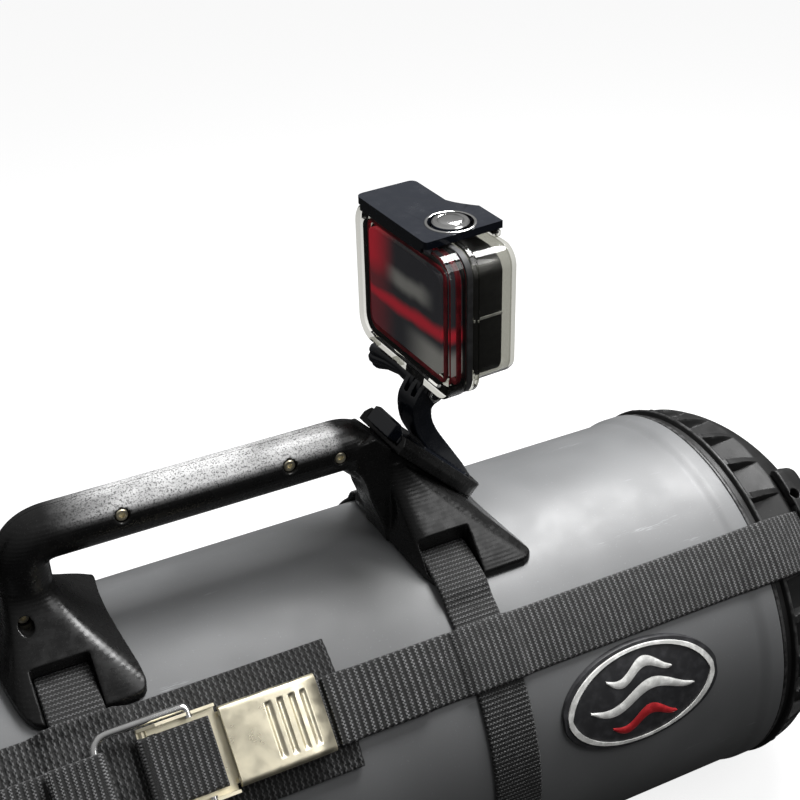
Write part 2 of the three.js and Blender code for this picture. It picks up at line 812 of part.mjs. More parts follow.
function handleBody() {
  const tube = bentRod(
    filletPath([
      { point: at(POST_X, 0, 108) },
      { point: at(POST_X, 0, GRIP_Z), bend: 16 },
      { point: at(-186, 0, GRIP_Z) },
    ]),
    GRIP_R,
    20,
    6,
  );
  const rearFoot = saddleFoot(
    { x: POST_X, z: 131, halfX: 12.4, halfY: 12.4 },
    { x: -345, halfX: 28, halfY: 50.7, edgeR: 104.2, bow: 6.5 },
  );
  const frontFoot = saddleFoot(
    { x: -171, z: 142, halfX: 9, halfY: 13.4 },
    { x: -151, halfX: 28, halfY: 49.5, edgeR: 104.2, bow: 8 },
  );
  const wedge = new THREE.Shape();
  wedge.moveTo(-204, GRIP_Z - GRIP_R);
  wedge.quadraticCurveTo(-190, GRIP_Z - GRIP_R, -186, 125);
  wedge.lineTo(-180, 108);
  wedge.lineTo(-178, 80);
  wedge.lineTo(-122.5, 80);
  wedge.lineTo(-122.5, slopeZ(-122.5));
  wedge.lineTo(-181, slopeZ(-181));
  wedge.quadraticCurveTo(-187, GRIP_Z + GRIP_R, -196, GRIP_Z + GRIP_R);
  wedge.lineTo(-204, GRIP_Z + GRIP_R - 1);
  const post = new THREE.ExtrudeGeometry(wedge, {
    depth: 22,
    curveSegments: 5,
    bevelThickness: 3,
    bevelSize: 1.2,
    bevelOffset: -1.2,
    bevelSegments: 2,
  });
  post.rotateX(Math.PI / 2).translate(0, 11, 0);
  const hull = rodX(HULL_R + GAP + 0.1, -400, -80, 0, 0, ROUND);
  const trimmed = cut(join(frontFoot, post), slabAboveSlope());
  const body = join(tube, rearFoot, trimmed);
  return cut(body, hull, ...strapRelief(FRONT_STRAP_X), ...strapRelief(REAR_STRAP_X));
}

// Everything above the sloped mounting face, to trim the front foot flat.
function slabAboveSlope() {
  const slab = box(-30, 140, -60, 60, 0, 60);
  slab.rotateY(SLOPE);
  return slab.translate(-181, 0, slopeZ(-181));
}

const SCREWS = [
  { name: "grip_screw_rear", x: -304.2, z: 156.5, face: 11.9 },
  { name: "grip_screw_middle", x: -224.3, z: 156.5, face: 11.9 },
  { name: "grip_screw_front", x: -199, z: 153, face: 12.3 },
  { name: "post_screw", x: -355, z: 120, face: 12 },
];
function screwAt({ x, z, face }) {
  const head = -face + 0.8;
  return turnedY(
    [[head, 1.3], [head, 2.9], [head + 3, 2.9], [head + 3, 1.5], [8, 1.5], [8, 0], [head + 1.6, 0], [head + 1.6, 1.3]],
    x,
    z,
    8,
  );
}
function screwHole({ x, z, face }) {
  const head = -face + 0.8;
  return turnedY(
    [[-30, 0], [-30, 3.3], [head + 3.3, 3.3], [head + 3.3, 1.85], [8.4, 1.85], [8.4, 0]],
    x,
    z,
    8,
  );
}

function handleHalf(body, side) {
  const keep = box(-420, -80, side > 0 ? 0.15 : -80, side > 0 ? 80 : -0.15, 60, 200);
  return common(body, keep);
}

// ------------------------------------------------- camera mount on the slope
// The camera's frame: origin under the dive housing, X along the lens, Z up.
const camera = new THREE.Group();
const slopeNormal = at(Math.sin(SLOPE), 0, Math.cos(SLOPE));
camera.position.copy(CAMERA_FOOT);
camera.quaternion.setFromAxisAngle(slopeNormal, CAMERA_YAW);
vehicle.add(camera);

// The mount's frame: X down the slope, Z off the slope, origin on the handle's face.
const SLOPE_BELOW_CAMERA = SLOPE_OFFSET - CAMERA_FOOT.dot(slopeNormal);
const mount = new THREE.Group();
mount.rotation.y = SLOPE;
mount.position.copy(slopeNormal).multiplyScalar(SLOPE_BELOW_CAMERA);
camera.add(mount);
const intoCamera = (geometry) => {
  mount.updateMatrix();
  return geometry.applyMatrix4(mount.matrix);
};

const BASE_LENGTH = 67;
const BASE_HALF = 19;
function baseOutline(x0, x1, half, nose) {
  const shape = new THREE.Shape();
  shape.moveTo(x0, -half);
  shape.lineTo(x1 - nose, -half);
  shape.quadraticCurveTo(x1, -half, x1, 0);
  shape.quadraticCurveTo(x1, half, x1 - nose, half);
  shape.lineTo(x0, half);
  return shape;
}

function cameraBase() {
  const slab = plateXY(baseOutline(0, BASE_LENGTH, BASE_HALF, 18), GAP, 8.6, 8);
  const channel = box(-5, 58, -14.6, 14.6, 2.8, 6.7);
  const opening = box(-5, 58, -12.8, 12.8, 6, 12);
  const armNotch = box(50, 64.5, -8.6, 8.6, 6, 12);
  const bevels = [-1, 1].map((side) =>
    box(-5, 90, -4, 4, -4, 4)
      .rotateX(side * radians(35))
      .translate(0, side * (BASE_HALF + 1.5), 9.6),
  );
  return cut(slab, channel, opening, armNotch, ...bevels);
}

// The quick-release foot slides in the base and carries the J-shaped arm.
function cameraArm() {
  const foot = box(3, 56.5, -14.2, 14.2, 3.2, 6.2);
  const deck = box(3, 56.5, -12.3, 12.3, 6.1, 8.4);
  const tab = plateXZ(outline([[-4, 3.2], [4, 3.2], [4, 8.4], [-1, 12], [-4, 11]]), -10, 10);
  const shape = new THREE.Shape();
  shape.moveTo(-13.2, -9.6);
  shape.splineThru([
    new THREE.Vector2(-17.6, -16.5),
    new THREE.Vector2(-18.6, -24.5),
    new THREE.Vector2(-16.4, -35),
    new THREE.Vector2(-9, -48.6),
  ]);
  shape.lineTo(-5, -53.6);
  shape.lineTo(14.2, -73.2);
  shape.lineTo(13.9, -69.5);
  shape.lineTo(9.6, -61);
  shape.lineTo(-3.4, -39);
  shape.quadraticCurveTo(-9.2, -29, -8.2, -23);
  shape.quadraticCurveTo(-7.8, -20.8, -5, -20);
  shape.lineTo(PIVOT.x, PIVOT.z);
  const stem = plateXZ(shape, -7.8, 7.8, 5);
  const knuckle = rodY(7, -7.8, 7.8, PIVOT.x, PIVOT.z, 16);
  const slots = [-1, 1].map((side) =>
    rodY(9.6, Math.min(side * 1.6, side * 4.9), Math.max(side * 1.6, side * 4.9), PIVOT.x, PIVOT.z, 16),
  );
  const bore = rodY(2.8, -12, 12, PIVOT.x, PIVOT.z, 16);
  const body = join(intoCamera(join(foot, deck, tab)), stem, knuckle);
  return cut(body, ...slots, bore);
}

const pivotNut = () =>
  cut(rodY(4.2, -10.6, -8.15, PIVOT.x, PIVOT.z, 6), rodY(2.8, -12, 0, PIVOT.x, PIVOT.z, 16));

const thumbScrew = () =>
  turnedY(
    [
      [-10, 0],
      [-10, 2.4],
      [8.2, 2.4],
      [8.2, 5.2],
      [20, 4.4],
      [30, 6.3],
      [37, 9.2],
      [39.6, 9.2],
      [41, 7.8],
      [41, 0],
    ],
    PIVOT.x,
    PIVOT.z,
    20,
  );

// --------------------------------------------------------------- dive housing
const HALF_W = CASE_W / 2;
const SHELL_INSET = 3.5;
const FLANGE_BACK = -6.4;
const FLANGE_FRONT = -3.2;
const DOOR_FRONT = -10.3;
const BUTTON = { x: -1, y: -14 };
const LATCH_PIN = { x: 17, z: 71.2 };
const LATCH_EAR_R = 1.65;
const LATCH_BORE_R = 1.1;
const DOOR_PIN = { x: -14, z: -2.2 };
const DOOR_EAR_R = 1.9;
const LENS = { y: 14, z: 46 };

const caseSlab = (inset, r, x0, x1) =>
  plateYZ(
    roundedRectangle(-HALF_W + inset, HALF_W - inset, inset, CASE_H - inset, r),
    x0,
    x1,
    4,
  );

function housingShell() {
  const flange = caseSlab(0, 11.5, FLANGE_BACK, FLANGE_FRONT);
  const shell = caseSlab(SHELL_INSET, 9.5, FLANGE_FRONT - 0.1, CASE_FRONT);
  const hollow = caseSlab(SHELL_INSET + 2.6, 7, FLANGE_BACK - 1, CASE_FRONT - 2.6);
  const port = rodX(19, CASE_FRONT - 0.1, CASE_FRONT + 4, LENS.y, LENS.z, 20);
  const portBore = rodX(16, CASE_FRONT - 4, CASE_FRONT + 2.5, LENS.y, LENS.z, 20);
  const buttonBore = rodZ(3, 60, 80, BUTTON.x + 3, BUTTON.y, 14);
  const bracket = outline([
    [-6.1, 3.7],
    [10, 3.7],
    [-0.8, -16.6],
    [-12, -8.9],
    [-6.1, -1],
  ]);
  const lugs = [-4.6, 1.9].map((y) =>
    join(plateXZ(bracket, y, y + 2.7), rodY(7, y, y + 2.7, PIVOT.x, PIVOT.z, 16)),
  );
  const pivotBore = rodY(2.8, -12, 12, PIVOT.x, PIVOT.z, 16);
  const latchLugs = [-24.8, -1.8].map((y) =>
    join(
      rodY(LATCH_EAR_R, y, y + 2.2, LATCH_PIN.x, LATCH_PIN.z, 16),
      box(LATCH_PIN.x - 1.5, LATCH_PIN.x + 1.5, y, y + 2.2, CASE_H - 5, LATCH_PIN.z),
    ),
  );
  const latchBore = rodY(LATCH_BORE_R, -30, 5, LATCH_PIN.x, LATCH_PIN.z, 10);
  const doorLugs = [8.6, 31].map((y) =>
    join(
      rodY(DOOR_EAR_R, y, y + 4, DOOR_PIN.x, DOOR_PIN.z, 16),
      box(DOOR_PIN.x, FLANGE_FRONT, y, y + 4, DOOR_PIN.z - 1.8, DOOR_PIN.z + 1.8),
      box(FLANGE_BACK, FLANGE_FRONT, y, y + 4, DOOR_PIN.z, 1),
    ),
  );
  const doorBore = rodY(1.25, 5, 40, DOOR_PIN.x, DOOR_PIN.z, 10);
  const body = join(flange, shell, port, ...lugs, ...latchLugs, ...doorLugs);
  return cut(body, hollow, portBore, buttonBore, pivotBore, latchBore, doorBore);
}

function housingGasket() {
  const ring = caseSlab(0.4, 11, DOOR_FRONT + GAP, FLANGE_BACK - GAP);
  return cut(ring, caseSlab(4.6, 8, -30, 30));
}

function housingDoor() {
  const slab = caseSlab(0, 11.5, CASE_REAR, DOOR_FRONT);
  const inside = caseSlab(6.4, 6.5, CASE_REAR + 3, DOOR_FRONT + 1);
  const window = caseSlab(6, 7, CASE_REAR - 1, CASE_REAR + 0.8);
  const notch = box(CASE_REAR - 1, DOOR_FRONT + 1, -27, 37, 70, 80);
  const barrel = join(
    rodY(1.9, 13, 30.6, DOOR_PIN.x, DOOR_PIN.z, 12),
    box(DOOR_PIN.x - 1.6, DOOR_PIN.x + 1.6, 13, 30.6, DOOR_PIN.z, 1),
  );
  const bore = rodY(1.25, 5, 40, DOOR_PIN.x, DOOR_PIN.z, 10);
  return cut(join(slab, barrel), inside, window, notch, bore);
}

const doorPin = () => rodY(0.9, 8.8, 34.8, DOOR_PIN.x, DOOR_PIN.z, 10);

function doorSeal() {
  const ring = caseSlab(6.9, 6, DOOR_FRONT - 2.6, DOOR_FRONT - 0.3);
  return cut(ring, caseSlab(9.2, 4.5, -30, 30));
}

function housingLatch() {
  const shape = new THREE.Shape();
  shape.moveTo(-21.6, 32);
  shape.quadraticCurveTo(-21.6, 36, -17, 36);
  shape.lineTo(6, 36);
  shape.quadraticCurveTo(10, 36, 10, 32);
  shape.lineTo(10, 8);
  shape.quadraticCurveTo(12, 2, 19.4, -6);
  shape.lineTo(19.4, -25);
  shape.lineTo(-20, -26);
  shape.quadraticCurveTo(-21.6, -26, -21.6, -23);
  shape.holes.push(new THREE.Path(circlePoints(10.6, 20, BUTTON.x, BUTTON.y)));
  const plate = plateXY(shape, 73, 76.6, 10);
  const lip = box(-21.6, -20.1, -22, 32, 70.3, 73.4);
  const barrel = rodY(1.9, -22.2, -2.2, LATCH_PIN.x, LATCH_PIN.z, 12);
  const web = box(LATCH_PIN.x - 1.5, LATCH_PIN.x + 1.5, -22.2, -2.2, LATCH_PIN.z, 73.4);
  const bore = rodY(LATCH_BORE_R, -30, 5, LATCH_PIN.x, LATCH_PIN.z, 10);
  return cut(join(plate, lip, barrel, web), bore);
}

const latchPin = () => rodY(LATCH_BORE_R - 0.3, -24.6, 0.2, LATCH_PIN.x, LATCH_PIN.z, 10);

function shutterButton() {
  const cap = rodZ(8.6, 74, 77.8, BUTTON.x, BUTTON.y, 20);
  const crown = rodZ(6.2, 77.6, 78.6, BUTTON.x, BUTTON.y, 20);
  const stem = rodZ(2.6, 64.6, 74.2, BUTTON.x + 3, BUTTON.y, 12);
  return join(cap, crown, stem);
}

const cameraBody = () =>
  plateYZ(roundedRectangle(-34.5, 34.5, 8.6, 62.6, 6), -8.7, 12.2, 4);
const cameraLens = () =>
  turned(
    [[12.6, 0], [12.6, 15], [18.5, 15], [21.2, 12], [21.2, 0]],
    20,
  ).translate(0, LENS.y, LENS.z);

// ---------------------------------------------- control grip, trigger, tow ring
const CONTROL_X = -421;
const TRIGGER_PIN = { x: CONTROL_X + 13, z: 176 };
function controlGrip() {
  const foot = saddleFoot(
    { x: CONTROL_X, z: 128, halfX: 15, halfY: 12 },
    { x: CONTROL_X, halfX: 24, halfY: 34, edgeR: 104.2, bow: 0 },
  );
  const rings = [120, 140, 160, 180, 198, 205].map((z, i) => {
    const lean = (z - 120) * -0.14;
    const taper = i === 5 ? 0.72 : 1;
    return footRing(CONTROL_X + lean, 16 * taper, 12.5 * taper, 2.6, (x, y) => at(x, y, z));
  });
  const guard = bentRod(
    filletPath([
      { point: at(CONTROL_X + 4, 0, 196) },
      { point: at(CONTROL_X + 30, 0, 196), bend: 10 },
      { point: at(CONTROL_X + 30, 0, 136), bend: 14 },
      { point: at(CONTROL_X + 4, 0, 126) },
    ]),
    3.6,
    8,
    4,
  );
  const slot = plateXZ(
    outline([
      [CONTROL_X - 4, 184],
      [CONTROL_X + 18, 184],
      [CONTROL_X + 18, 138],
      [CONTROL_X - 2, 138],
    ]),
    -6.4,
    6.4,
  );
  const pinHole = rodY(1.9, -9, 9, TRIGGER_PIN.x - 11, TRIGGER_PIN.z, 10);
  const hull = rodX(HULL_R + GAP + 0.1, -470, -380, 0, 0, ROUND);
  return cut(join(foot, loft(rings), guard), slot, pinHole, hull);
}

const triggerPin = () => rodY(1.5, -8.6, 8.6, TRIGGER_PIN.x - 11, TRIGGER_PIN.z, 10);

function trigger() {
  const { x, z } = TRIGGER_PIN;
  const shape = new THREE.Shape();
  shape.moveTo(x - 11, z + 4.5);
  shape.lineTo(x - 5, z + 4.5);
  shape.quadraticCurveTo(x + 1, z - 14, x + 8, z - 33);
  shape.lineTo(x + 3, z - 35);
  shape.quadraticCurveTo(x - 6, z - 20, x - 15, z - 5);
  shape.absarc(x - 11, z, 4.5, Math.PI, Math.PI / 2, true);
  const lever = plateXZ(shape, -6, 6, 6);
  return cut(lever, rodY(1.9, -9, 9, x - 11, z, 10));
}

const TOW_PIVOT = { x: -461, z: 108.4 };
function towBracket() {
  const block = plateXZ(
    outline([
      [-468, 92],
      [-454, 92],
      [-454, 110],
      [-457, 113],
      [-465, 113],
      [-468, 110],
    ]),
    -5,
    5,
  );
  const cone = turned([
    [-445, 0],
    [-445, 101 + GAP],
    [-457, 101 + GAP],
    [-470, 95 + GAP],
    [-500, 66 + GAP],
    [-500, 0],
  ]);
  const hole = rodY(2.9, -9, 9, TOW_PIVOT.x, TOW_PIVOT.z, 12);
  return cut(block, cone, hole);
}

function towRing() {
  const { x, z } = TOW_PIVOT;
  const bar = rodY(2.2, -15, 15, x, z, 10);
  const loop = bentRod(
    filletPath([
      { point: at(x, -14.5, z) },
      { point: at(x - 16, -16, z), bend: 6 },
      { point: at(x - 34, 0, z), bend: 12 },
      { point: at(x - 16, 16, z), bend: 6 },
      { point: at(x, 14.5, z) },
    ]),
    2.2,
    8,
    3,
  );
  return join(bar, loop);
}

// ------------------------------------------------------------------- assembly
add("hull_tube", hullTube(), M.hull);
add("nose_cap", noseCap(), M.nose);
add("nose_seal_ring", sealRing(-15), M.rubber);
add("nose_strap_anchor", noseAnchor(), M.nose);
add("tail_housing", tailHousing(), M.nose);
add("tail_seal_ring", sealRing(-433), M.rubber);
add("motor_housing", motorHousing(), M.alloy);
add("motor_end_cap", motorEndCap(), M.alloy);
add("front_bearing", bearing(-444.2), M.bright);
add("rear_bearing", bearing(-514.6), M.bright);
add("shaft_seal", shaftSeal(), M.rubber);
add("motor_stator", motorStator(), M.iron);
add("motor_rotor", motorRotor(), M.iron);
add("drive_shaft", driveShaft(), M.bright);
add("propeller", propeller(), M.glossBlack);
add("propeller_nut", propellerNut(), M.steel);
add("shroud", shroud(), M.nose);
add("battery_tray", batteryTray(), M.alloy);
add("battery_pack_rear", batteryPack(-372), M.battery);
add("battery_pack_front", batteryPack(-208), M.battery);
add("motor_controller", motorController(), M.board);
add("power_cable", powerCable(), M.cable);
add("trim_weight", trimWeight(), M.iron);

add("front_hoop_strap", hoopStrap(FRONT_STRAP_X), M.webbing);
add("rear_hoop_strap", hoopStrap(REAR_STRAP_X), M.webbing);
add("buckle_pad", bucklePad(), M.webbing);
add("long_strap", longStrap(), M.webbing);
add("rear_strap", rearStrap(), M.webbing);
add("buckle_frame", buckleFrame(), M.steel, buckle);
add("lever_pin", leverPin(), M.bright, buckle);
add("buckle_lever", buckleLever(), M.steel, buckle);
add("buckle_bail", buckleBail(), M.bright, buckle);
add("rear_strap_fold", rearFold(), M.webbing, buckle);
add("front_strap_fold", frontFold(), M.webbing, buckle);
add("hull_badge", hullBadge(), M.rubber);

const handle = cut(handleBody(), ...SCREWS.map(screwHole));
add("handle_near_half", handleHalf(handle, -1), M.printed);
add("handle_far_half", handleHalf(handle, 1), M.printed);
for (const screw of SCREWS) add(screw.name, screwAt(screw), M.steel);

add("camera_base", cameraBase(), M.printed, mount);
add("camera_arm", cameraArm(), M.glossBlack, camera);
add("pivot_nut", pivotNut(), M.bright, camera);
add("thumb_screw", thumbScrew(), M.printed, camera);
add("housing_shell", housingShell(), M.clear, camera);
add("housing_gasket", housingGasket(), M.rubber, camera);
add("housing_door", housingDoor(), M.clear, camera);
add("door_pin", doorPin(), M.bright, camera);
add("door_seal", doorSeal(), M.red, camera);
add("housing_latch", housingLatch(), M.printed, camera);
add("latch_pin", latchPin(), M.bright, camera);
add("shutter_button", shutterButton(), M.bright, camera);
add("action_camera", cameraBody(), M.camera, camera);
add("camera_lens", cameraLens(), M.glossBlack, camera);

add("control_grip", controlGrip(), M.printed);
add("trigger_pin", triggerPin(), M.bright);
add("trigger", trigger(), M.printed);
add("tow_ring_bracket", towBracket(), M.nose);
add("tow_ring", towRing(), M.steel);

export default root;
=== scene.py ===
import math

import bmesh
import bpy
import numpy as np
from mathutils import Matrix, Vector


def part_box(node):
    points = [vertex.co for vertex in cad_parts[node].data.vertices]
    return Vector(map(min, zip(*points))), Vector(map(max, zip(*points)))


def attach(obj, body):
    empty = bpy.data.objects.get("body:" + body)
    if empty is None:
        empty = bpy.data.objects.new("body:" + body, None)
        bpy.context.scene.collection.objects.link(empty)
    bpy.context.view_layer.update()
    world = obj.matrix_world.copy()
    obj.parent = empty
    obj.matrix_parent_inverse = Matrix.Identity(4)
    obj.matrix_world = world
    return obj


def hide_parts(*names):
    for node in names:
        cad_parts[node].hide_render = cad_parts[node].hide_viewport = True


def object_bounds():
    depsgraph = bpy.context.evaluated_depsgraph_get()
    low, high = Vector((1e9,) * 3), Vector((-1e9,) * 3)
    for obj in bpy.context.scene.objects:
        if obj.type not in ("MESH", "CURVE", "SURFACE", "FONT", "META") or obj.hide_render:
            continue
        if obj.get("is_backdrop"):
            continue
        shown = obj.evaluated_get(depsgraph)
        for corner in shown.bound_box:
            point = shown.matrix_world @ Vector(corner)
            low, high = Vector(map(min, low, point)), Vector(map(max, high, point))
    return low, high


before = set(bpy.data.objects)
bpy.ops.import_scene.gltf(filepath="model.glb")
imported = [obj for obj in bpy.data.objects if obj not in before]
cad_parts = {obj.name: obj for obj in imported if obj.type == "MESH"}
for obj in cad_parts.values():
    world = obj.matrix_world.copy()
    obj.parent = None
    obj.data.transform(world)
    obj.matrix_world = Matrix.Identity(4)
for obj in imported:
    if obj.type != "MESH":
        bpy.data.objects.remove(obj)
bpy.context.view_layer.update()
MM = 0.001

# ---------------------------------------------------------------- driving sizes
GAP = 0.35
HULL_R = 100.0
BELL_R = 101.5
BORE_R = 94.0
RIBS = 28
RIB_START = 6.3
POCKET_FLOOR_R = 94.6
POCKET_HALF = 9.1
WEBBING = 1.7
STRAP_LOW = 40.4
STRAP_HIGH = 57.9
PAD = 2.2
PAD_R = HULL_R + 0.6
HOOP_TOP = HULL_R + 0.5 + WEBBING
BUCKLE_ANGLE = 48.5
GRIP_R = 12.5
GRIP_Z = 153.4
POST_X = -350.0
SLOPE = math.radians(46)
SLOPE_OFFSET = -20.1
CAMERA_YAW = math.radians(6.4)
CAMERA_FOOT = Vector((-140.3, 0, 185.1))
CASE_W = 83.6
CASE_H = 72.5
CASE_REAR = -19.5
CASE_FRONT = 19.5
DOOR_FRONT = -10.3
FLANGE_BACK = -6.4
FLANGE_FRONT = -3.2
PIVOT = (-7.0, -13.5)
PROP_X = -541.0
PROP_R = 87.0
SHAFT_R = 6.0
SHROUD_R = 99.5


# The hull's frame starts at the front end of the hull tube.
HULL_ORIGIN = Vector((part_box("hull_tube")[1][0], 0, 0))
INTO_ROW = Matrix.Translation(HULL_ORIGIN)
OUT_OF_ROW = Matrix.Translation(-HULL_ORIGIN)


def span(node):
    """Lowest and highest corner of a CAD node, in millimetres in the hull's frame."""
    low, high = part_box(node)
    return np.array(low - HULL_ORIGIN) / MM, np.array(high - HULL_ORIGIN) / MM


def middle_x(node):
    low, high = span(node)
    return (low[0] + high[0]) / 2


FRONT_STRAP_X = middle_x("front_hoop_strap")
REAR_STRAP_X = middle_x("rear_hoop_strap")
STRAP_WIDTH = span("front_hoop_strap")[1][0] - span("front_hoop_strap")[0][0]

# A solid of revolution is made along X; these turn it to lie along Y or stand along Z.
LYING = Matrix.Rotation(math.pi / 2, 4, "Z")
STANDING = Matrix.Rotation(-math.pi / 2, 4, "Y")
ON_BUCKLE = Matrix.Rotation(math.radians(BUCKLE_ANGLE), 4, "X")
SLOPE_NORMAL = Vector((math.sin(SLOPE), 0, math.cos(SLOPE)))
ON_CAMERA = Matrix.Translation(CAMERA_FOOT) @ Matrix.Rotation(CAMERA_YAW, 4, SLOPE_NORMAL)


# ---------------------------------------------------------------- mesh building
def loft(rings, wrap=False):
    """A skin through rings of equal point counts: capped, or closed end to end."""
    rings = np.asarray(rings, float)
    count, size = rings.shape[:2]
    ids = np.arange(count * size).reshape(count, size)
    faces = []
    for i in range(count if wrap else count - 1):
        a = ids[i]
        b = ids[(i + 1) % count]
        faces += np.stack([a, np.roll(a, -1), np.roll(b, -1), b], axis=1).tolist()
    if not wrap:
        faces.append(ids[0][::-1].tolist())
        faces.append(ids[-1].tolist())
    return rings.reshape(-1, 3), faces


def turn(profile, segments=128, radius=None):
    """A surface about the X axis from [x, r] points. A profile that ends on the axis
    is capped there; any other closes on itself. radius(x, r, degrees) reshapes it."""
    profile = np.asarray(profile, float)
    capped = profile[0, 1] == 0 and profile[-1, 1] == 0
    if capped:
        profile = profile[1:-1]
    degrees = segments if np.ndim(segments) else np.arange(segments) * 360 / segments
    rings = []
    for x, r in profile:
        reach = np.full(len(degrees), r) if radius is None else radius(x, r, degrees)
        rings.append(hull_point(x, reach, degrees))
    return loft(rings, wrap=not capped)


def hull_point(x, r, degrees):
    """A point on a cylinder about the hull axis, by angle from the top towards -Y."""
    a = np.radians(degrees)
    x, r, a = np.broadcast_arrays(x, r, a)
    return np.stack([x, -r * np.sin(a), r * np.cos(a)], axis=-1)


def curve(start, control, end, shares):
    """Points along an arc-like curve, at shares of its length from 0 to 1."""
    return [start * (1 - t) ** 2 + 2 * control * t * (1 - t) + end * t * t for t in shares]


def rounded(points, radius, steps=5):
    """A closed outline with each corner turned into an arc-like curve."""
    points = np.asarray(points, float)
    radii = np.broadcast_to(radius, len(points))
    result = []
    for i, corner in enumerate(points):
        before = points[i - 1] - corner
        after = points[(i + 1) % len(points)] - corner
        reach = min(radii[i], np.linalg.norm(before) * 0.49, np.linalg.norm(after) * 0.49)
        if reach <= 0:
            result.append(corner)
            continue
        enter = corner + before / np.linalg.norm(before) * reach
        leave = corner + after / np.linalg.norm(after) * reach
        result += curve(enter, corner, leave, np.linspace(0, 1, steps))
    return np.array(result)


def outline(*moves):
    """An outline from ("to", x, y) lines and ("via", cx, cy, x, y) curves."""
    points = [np.array(moves[0][1:], float)]
    for kind, *values in moves[1:]:
        if kind == "to":
            points.append(np.array(values, float))
        else:
            control, end = np.array(values[:2]), np.array(values[2:])
            points += curve(points[-1], control, end, np.linspace(0, 1, 13)[1:])
    return np.array(points)


def plate(points, low, high, plane="xz"):
    """A plate with its outline in one plane, from low to high along the third axis."""
    order = {"xz": (0, 2, 1), "xy": (0, 1, 2), "yz": (1, 2, 0)}[plane]
    rings = np.zeros((2, len(points), 3))
    rings[:, :, order[0]] = np.asarray(points)[:, 0]
    rings[:, :, order[1]] = np.asarray(points)[:, 1]
    rings[0, :, order[2]] = low
    rings[1, :, order[2]] = high
    return loft(rings)


def brick(x0, x1, y0, y1, z0, z1):
    return plate([(x0, y0), (x1, y0), (x1, y1), (x0, y1)], z0, z1, "xy")


def rod(radius, x0, x1, segments=48):
    return turn([(x0, 0), (x0, radius), (x1, radius), (x1, 0)], segments)


def sweep(path, radius, sides=32):
    """A round rod along a list of points."""
    path = np.asarray(path, float)
    tangents = np.gradient(path, axis=0)
    tangents /= np.linalg.norm(tangents, axis=1)[:, None]
    spare = (1, 0, 0) if abs(tangents[0][1]) > 0.8 else (0, 1, 0)
    across = Vector(np.cross(tangents[0], spare)).normalized()
    turns = np.arange(sides) * 2 * math.pi / sides
    rings = []
    for i, point in enumerate(path):
        tangent = Vector(tangents[i])
        if i:
            across.rotate(Vector(tangents[i - 1]).rotation_difference(tangent))
        side = tangent.cross(across)
        ring = np.outer(np.cos(turns), across) + np.outer(np.sin(turns), side)
        rings.append(point + radius * ring)
    return loft(rings)


def bent_path(corners, steps=14):
    """Points along straight runs joined by bends; each corner is (point, reach)."""
    points = [np.array(corners[0][0], float)]
    for i in range(1, len(corners) - 1):
        corner = np.array(corners[i][0], float)
        before = np.array(corners[i - 1][0], float) - corner
        after = np.array(corners[i + 1][0], float) - corner
        before /= np.linalg.norm(before)
        after /= np.linalg.norm(after)
        reach = corners[i][1] / math.tan(math.acos(np.clip(before @ after, -1, 1)) / 2)
        points += curve(corner + before * reach, corner, corner + after * reach, np.linspace(0, 1, steps))
    points.append(np.array(corners[-1][0], float))
    return points


def linked(name, data):
    """A new object in the scene."""
    thing = bpy.data.objects.new(name, data)
    bpy.context.scene.collection.objects.link(thing)
    return thing


def faced_out(mesh, merge=False):
    shaped = bmesh.new()
    shaped.from_mesh(mesh)
    if merge:
        bmesh.ops.remove_doubles(shaped, verts=shaped.verts, dist=1e-7)
    bmesh.ops.recalc_face_normals(shaped, faces=shaped.faces)
    shaped.to_mesh(mesh)
    shaped.free()


def moved(thing, matrix):
    scaled = matrix.copy()
    scaled.translation = matrix.translation * MM
    thing.data.transform(scaled)
    return thing


def solid(shape, matrix=None):
    """A Blender object from (points, faces), with its faces turned outwards."""
    points, faces = shape
    mesh = bpy.data.meshes.new("piece")
    mesh.from_pydata((np.asarray(points) * MM).tolist(), [], faces)
    faced_out(mesh, merge=True)
    thing = linked("piece", mesh)
    return thing if matrix is None else moved(thing, matrix)


def settled(thing):
    """Bakes a thing's modifiers into its mesh."""
    graph = bpy.context.evaluated_depsgraph_get()
    graph.update()
    mesh = bpy.data.meshes.new_from_object(thing.evaluated_get(graph))
    thing.modifiers.clear()
    thing.data = mesh
    return thing


def combined(operation, thing, *others):
    for other in others:
        step = thing.modifiers.new("step", "BOOLEAN")
        step.operation = operation
        step.solver = "EXACT"
        step.object = other
        settled(thing)
        bpy.data.objects.remove(other)
    return thing


def cut(thing, *others):
    return combined("DIFFERENCE", thing, *others)


def join(thing, *others):
    return combined("UNION", thing, *others)


def softened(thing, voxel, rounds):
    """Rounds every edge and blends joints, as in a moulded or printed part."""
    remesh = thing.modifiers.new("remesh", "REMESH")
    remesh.mode = "VOXEL"
    remesh.voxel_size = voxel * MM
    smooth = thing.modifiers.new("smooth", "SMOOTH")
    smooth.factor = 0.5
    smooth.iterations = rounds
    settled(thing)
    thing.data.shade_smooth()
    return thing


def bevelled(thing, width, angle=35, segments=3):
    bevel = thing.modifiers.new("bevel", "BEVEL")
    bevel.width = width * MM
    bevel.segments = segments
    bevel.limit_method = "ANGLE"
    bevel.angle_limit = math.radians(angle)
    settled(thing)
    creased(thing, angle)
    return flattened(thing)


def flattened(thing):
    """Keeps the shading of flat faces flat beside their rounded edges."""
    weigh = thing.modifiers.new("weigh", "WEIGHTED_NORMAL")
    weigh.keep_sharp = True
    weigh.weight = 100
    return settled(thing)


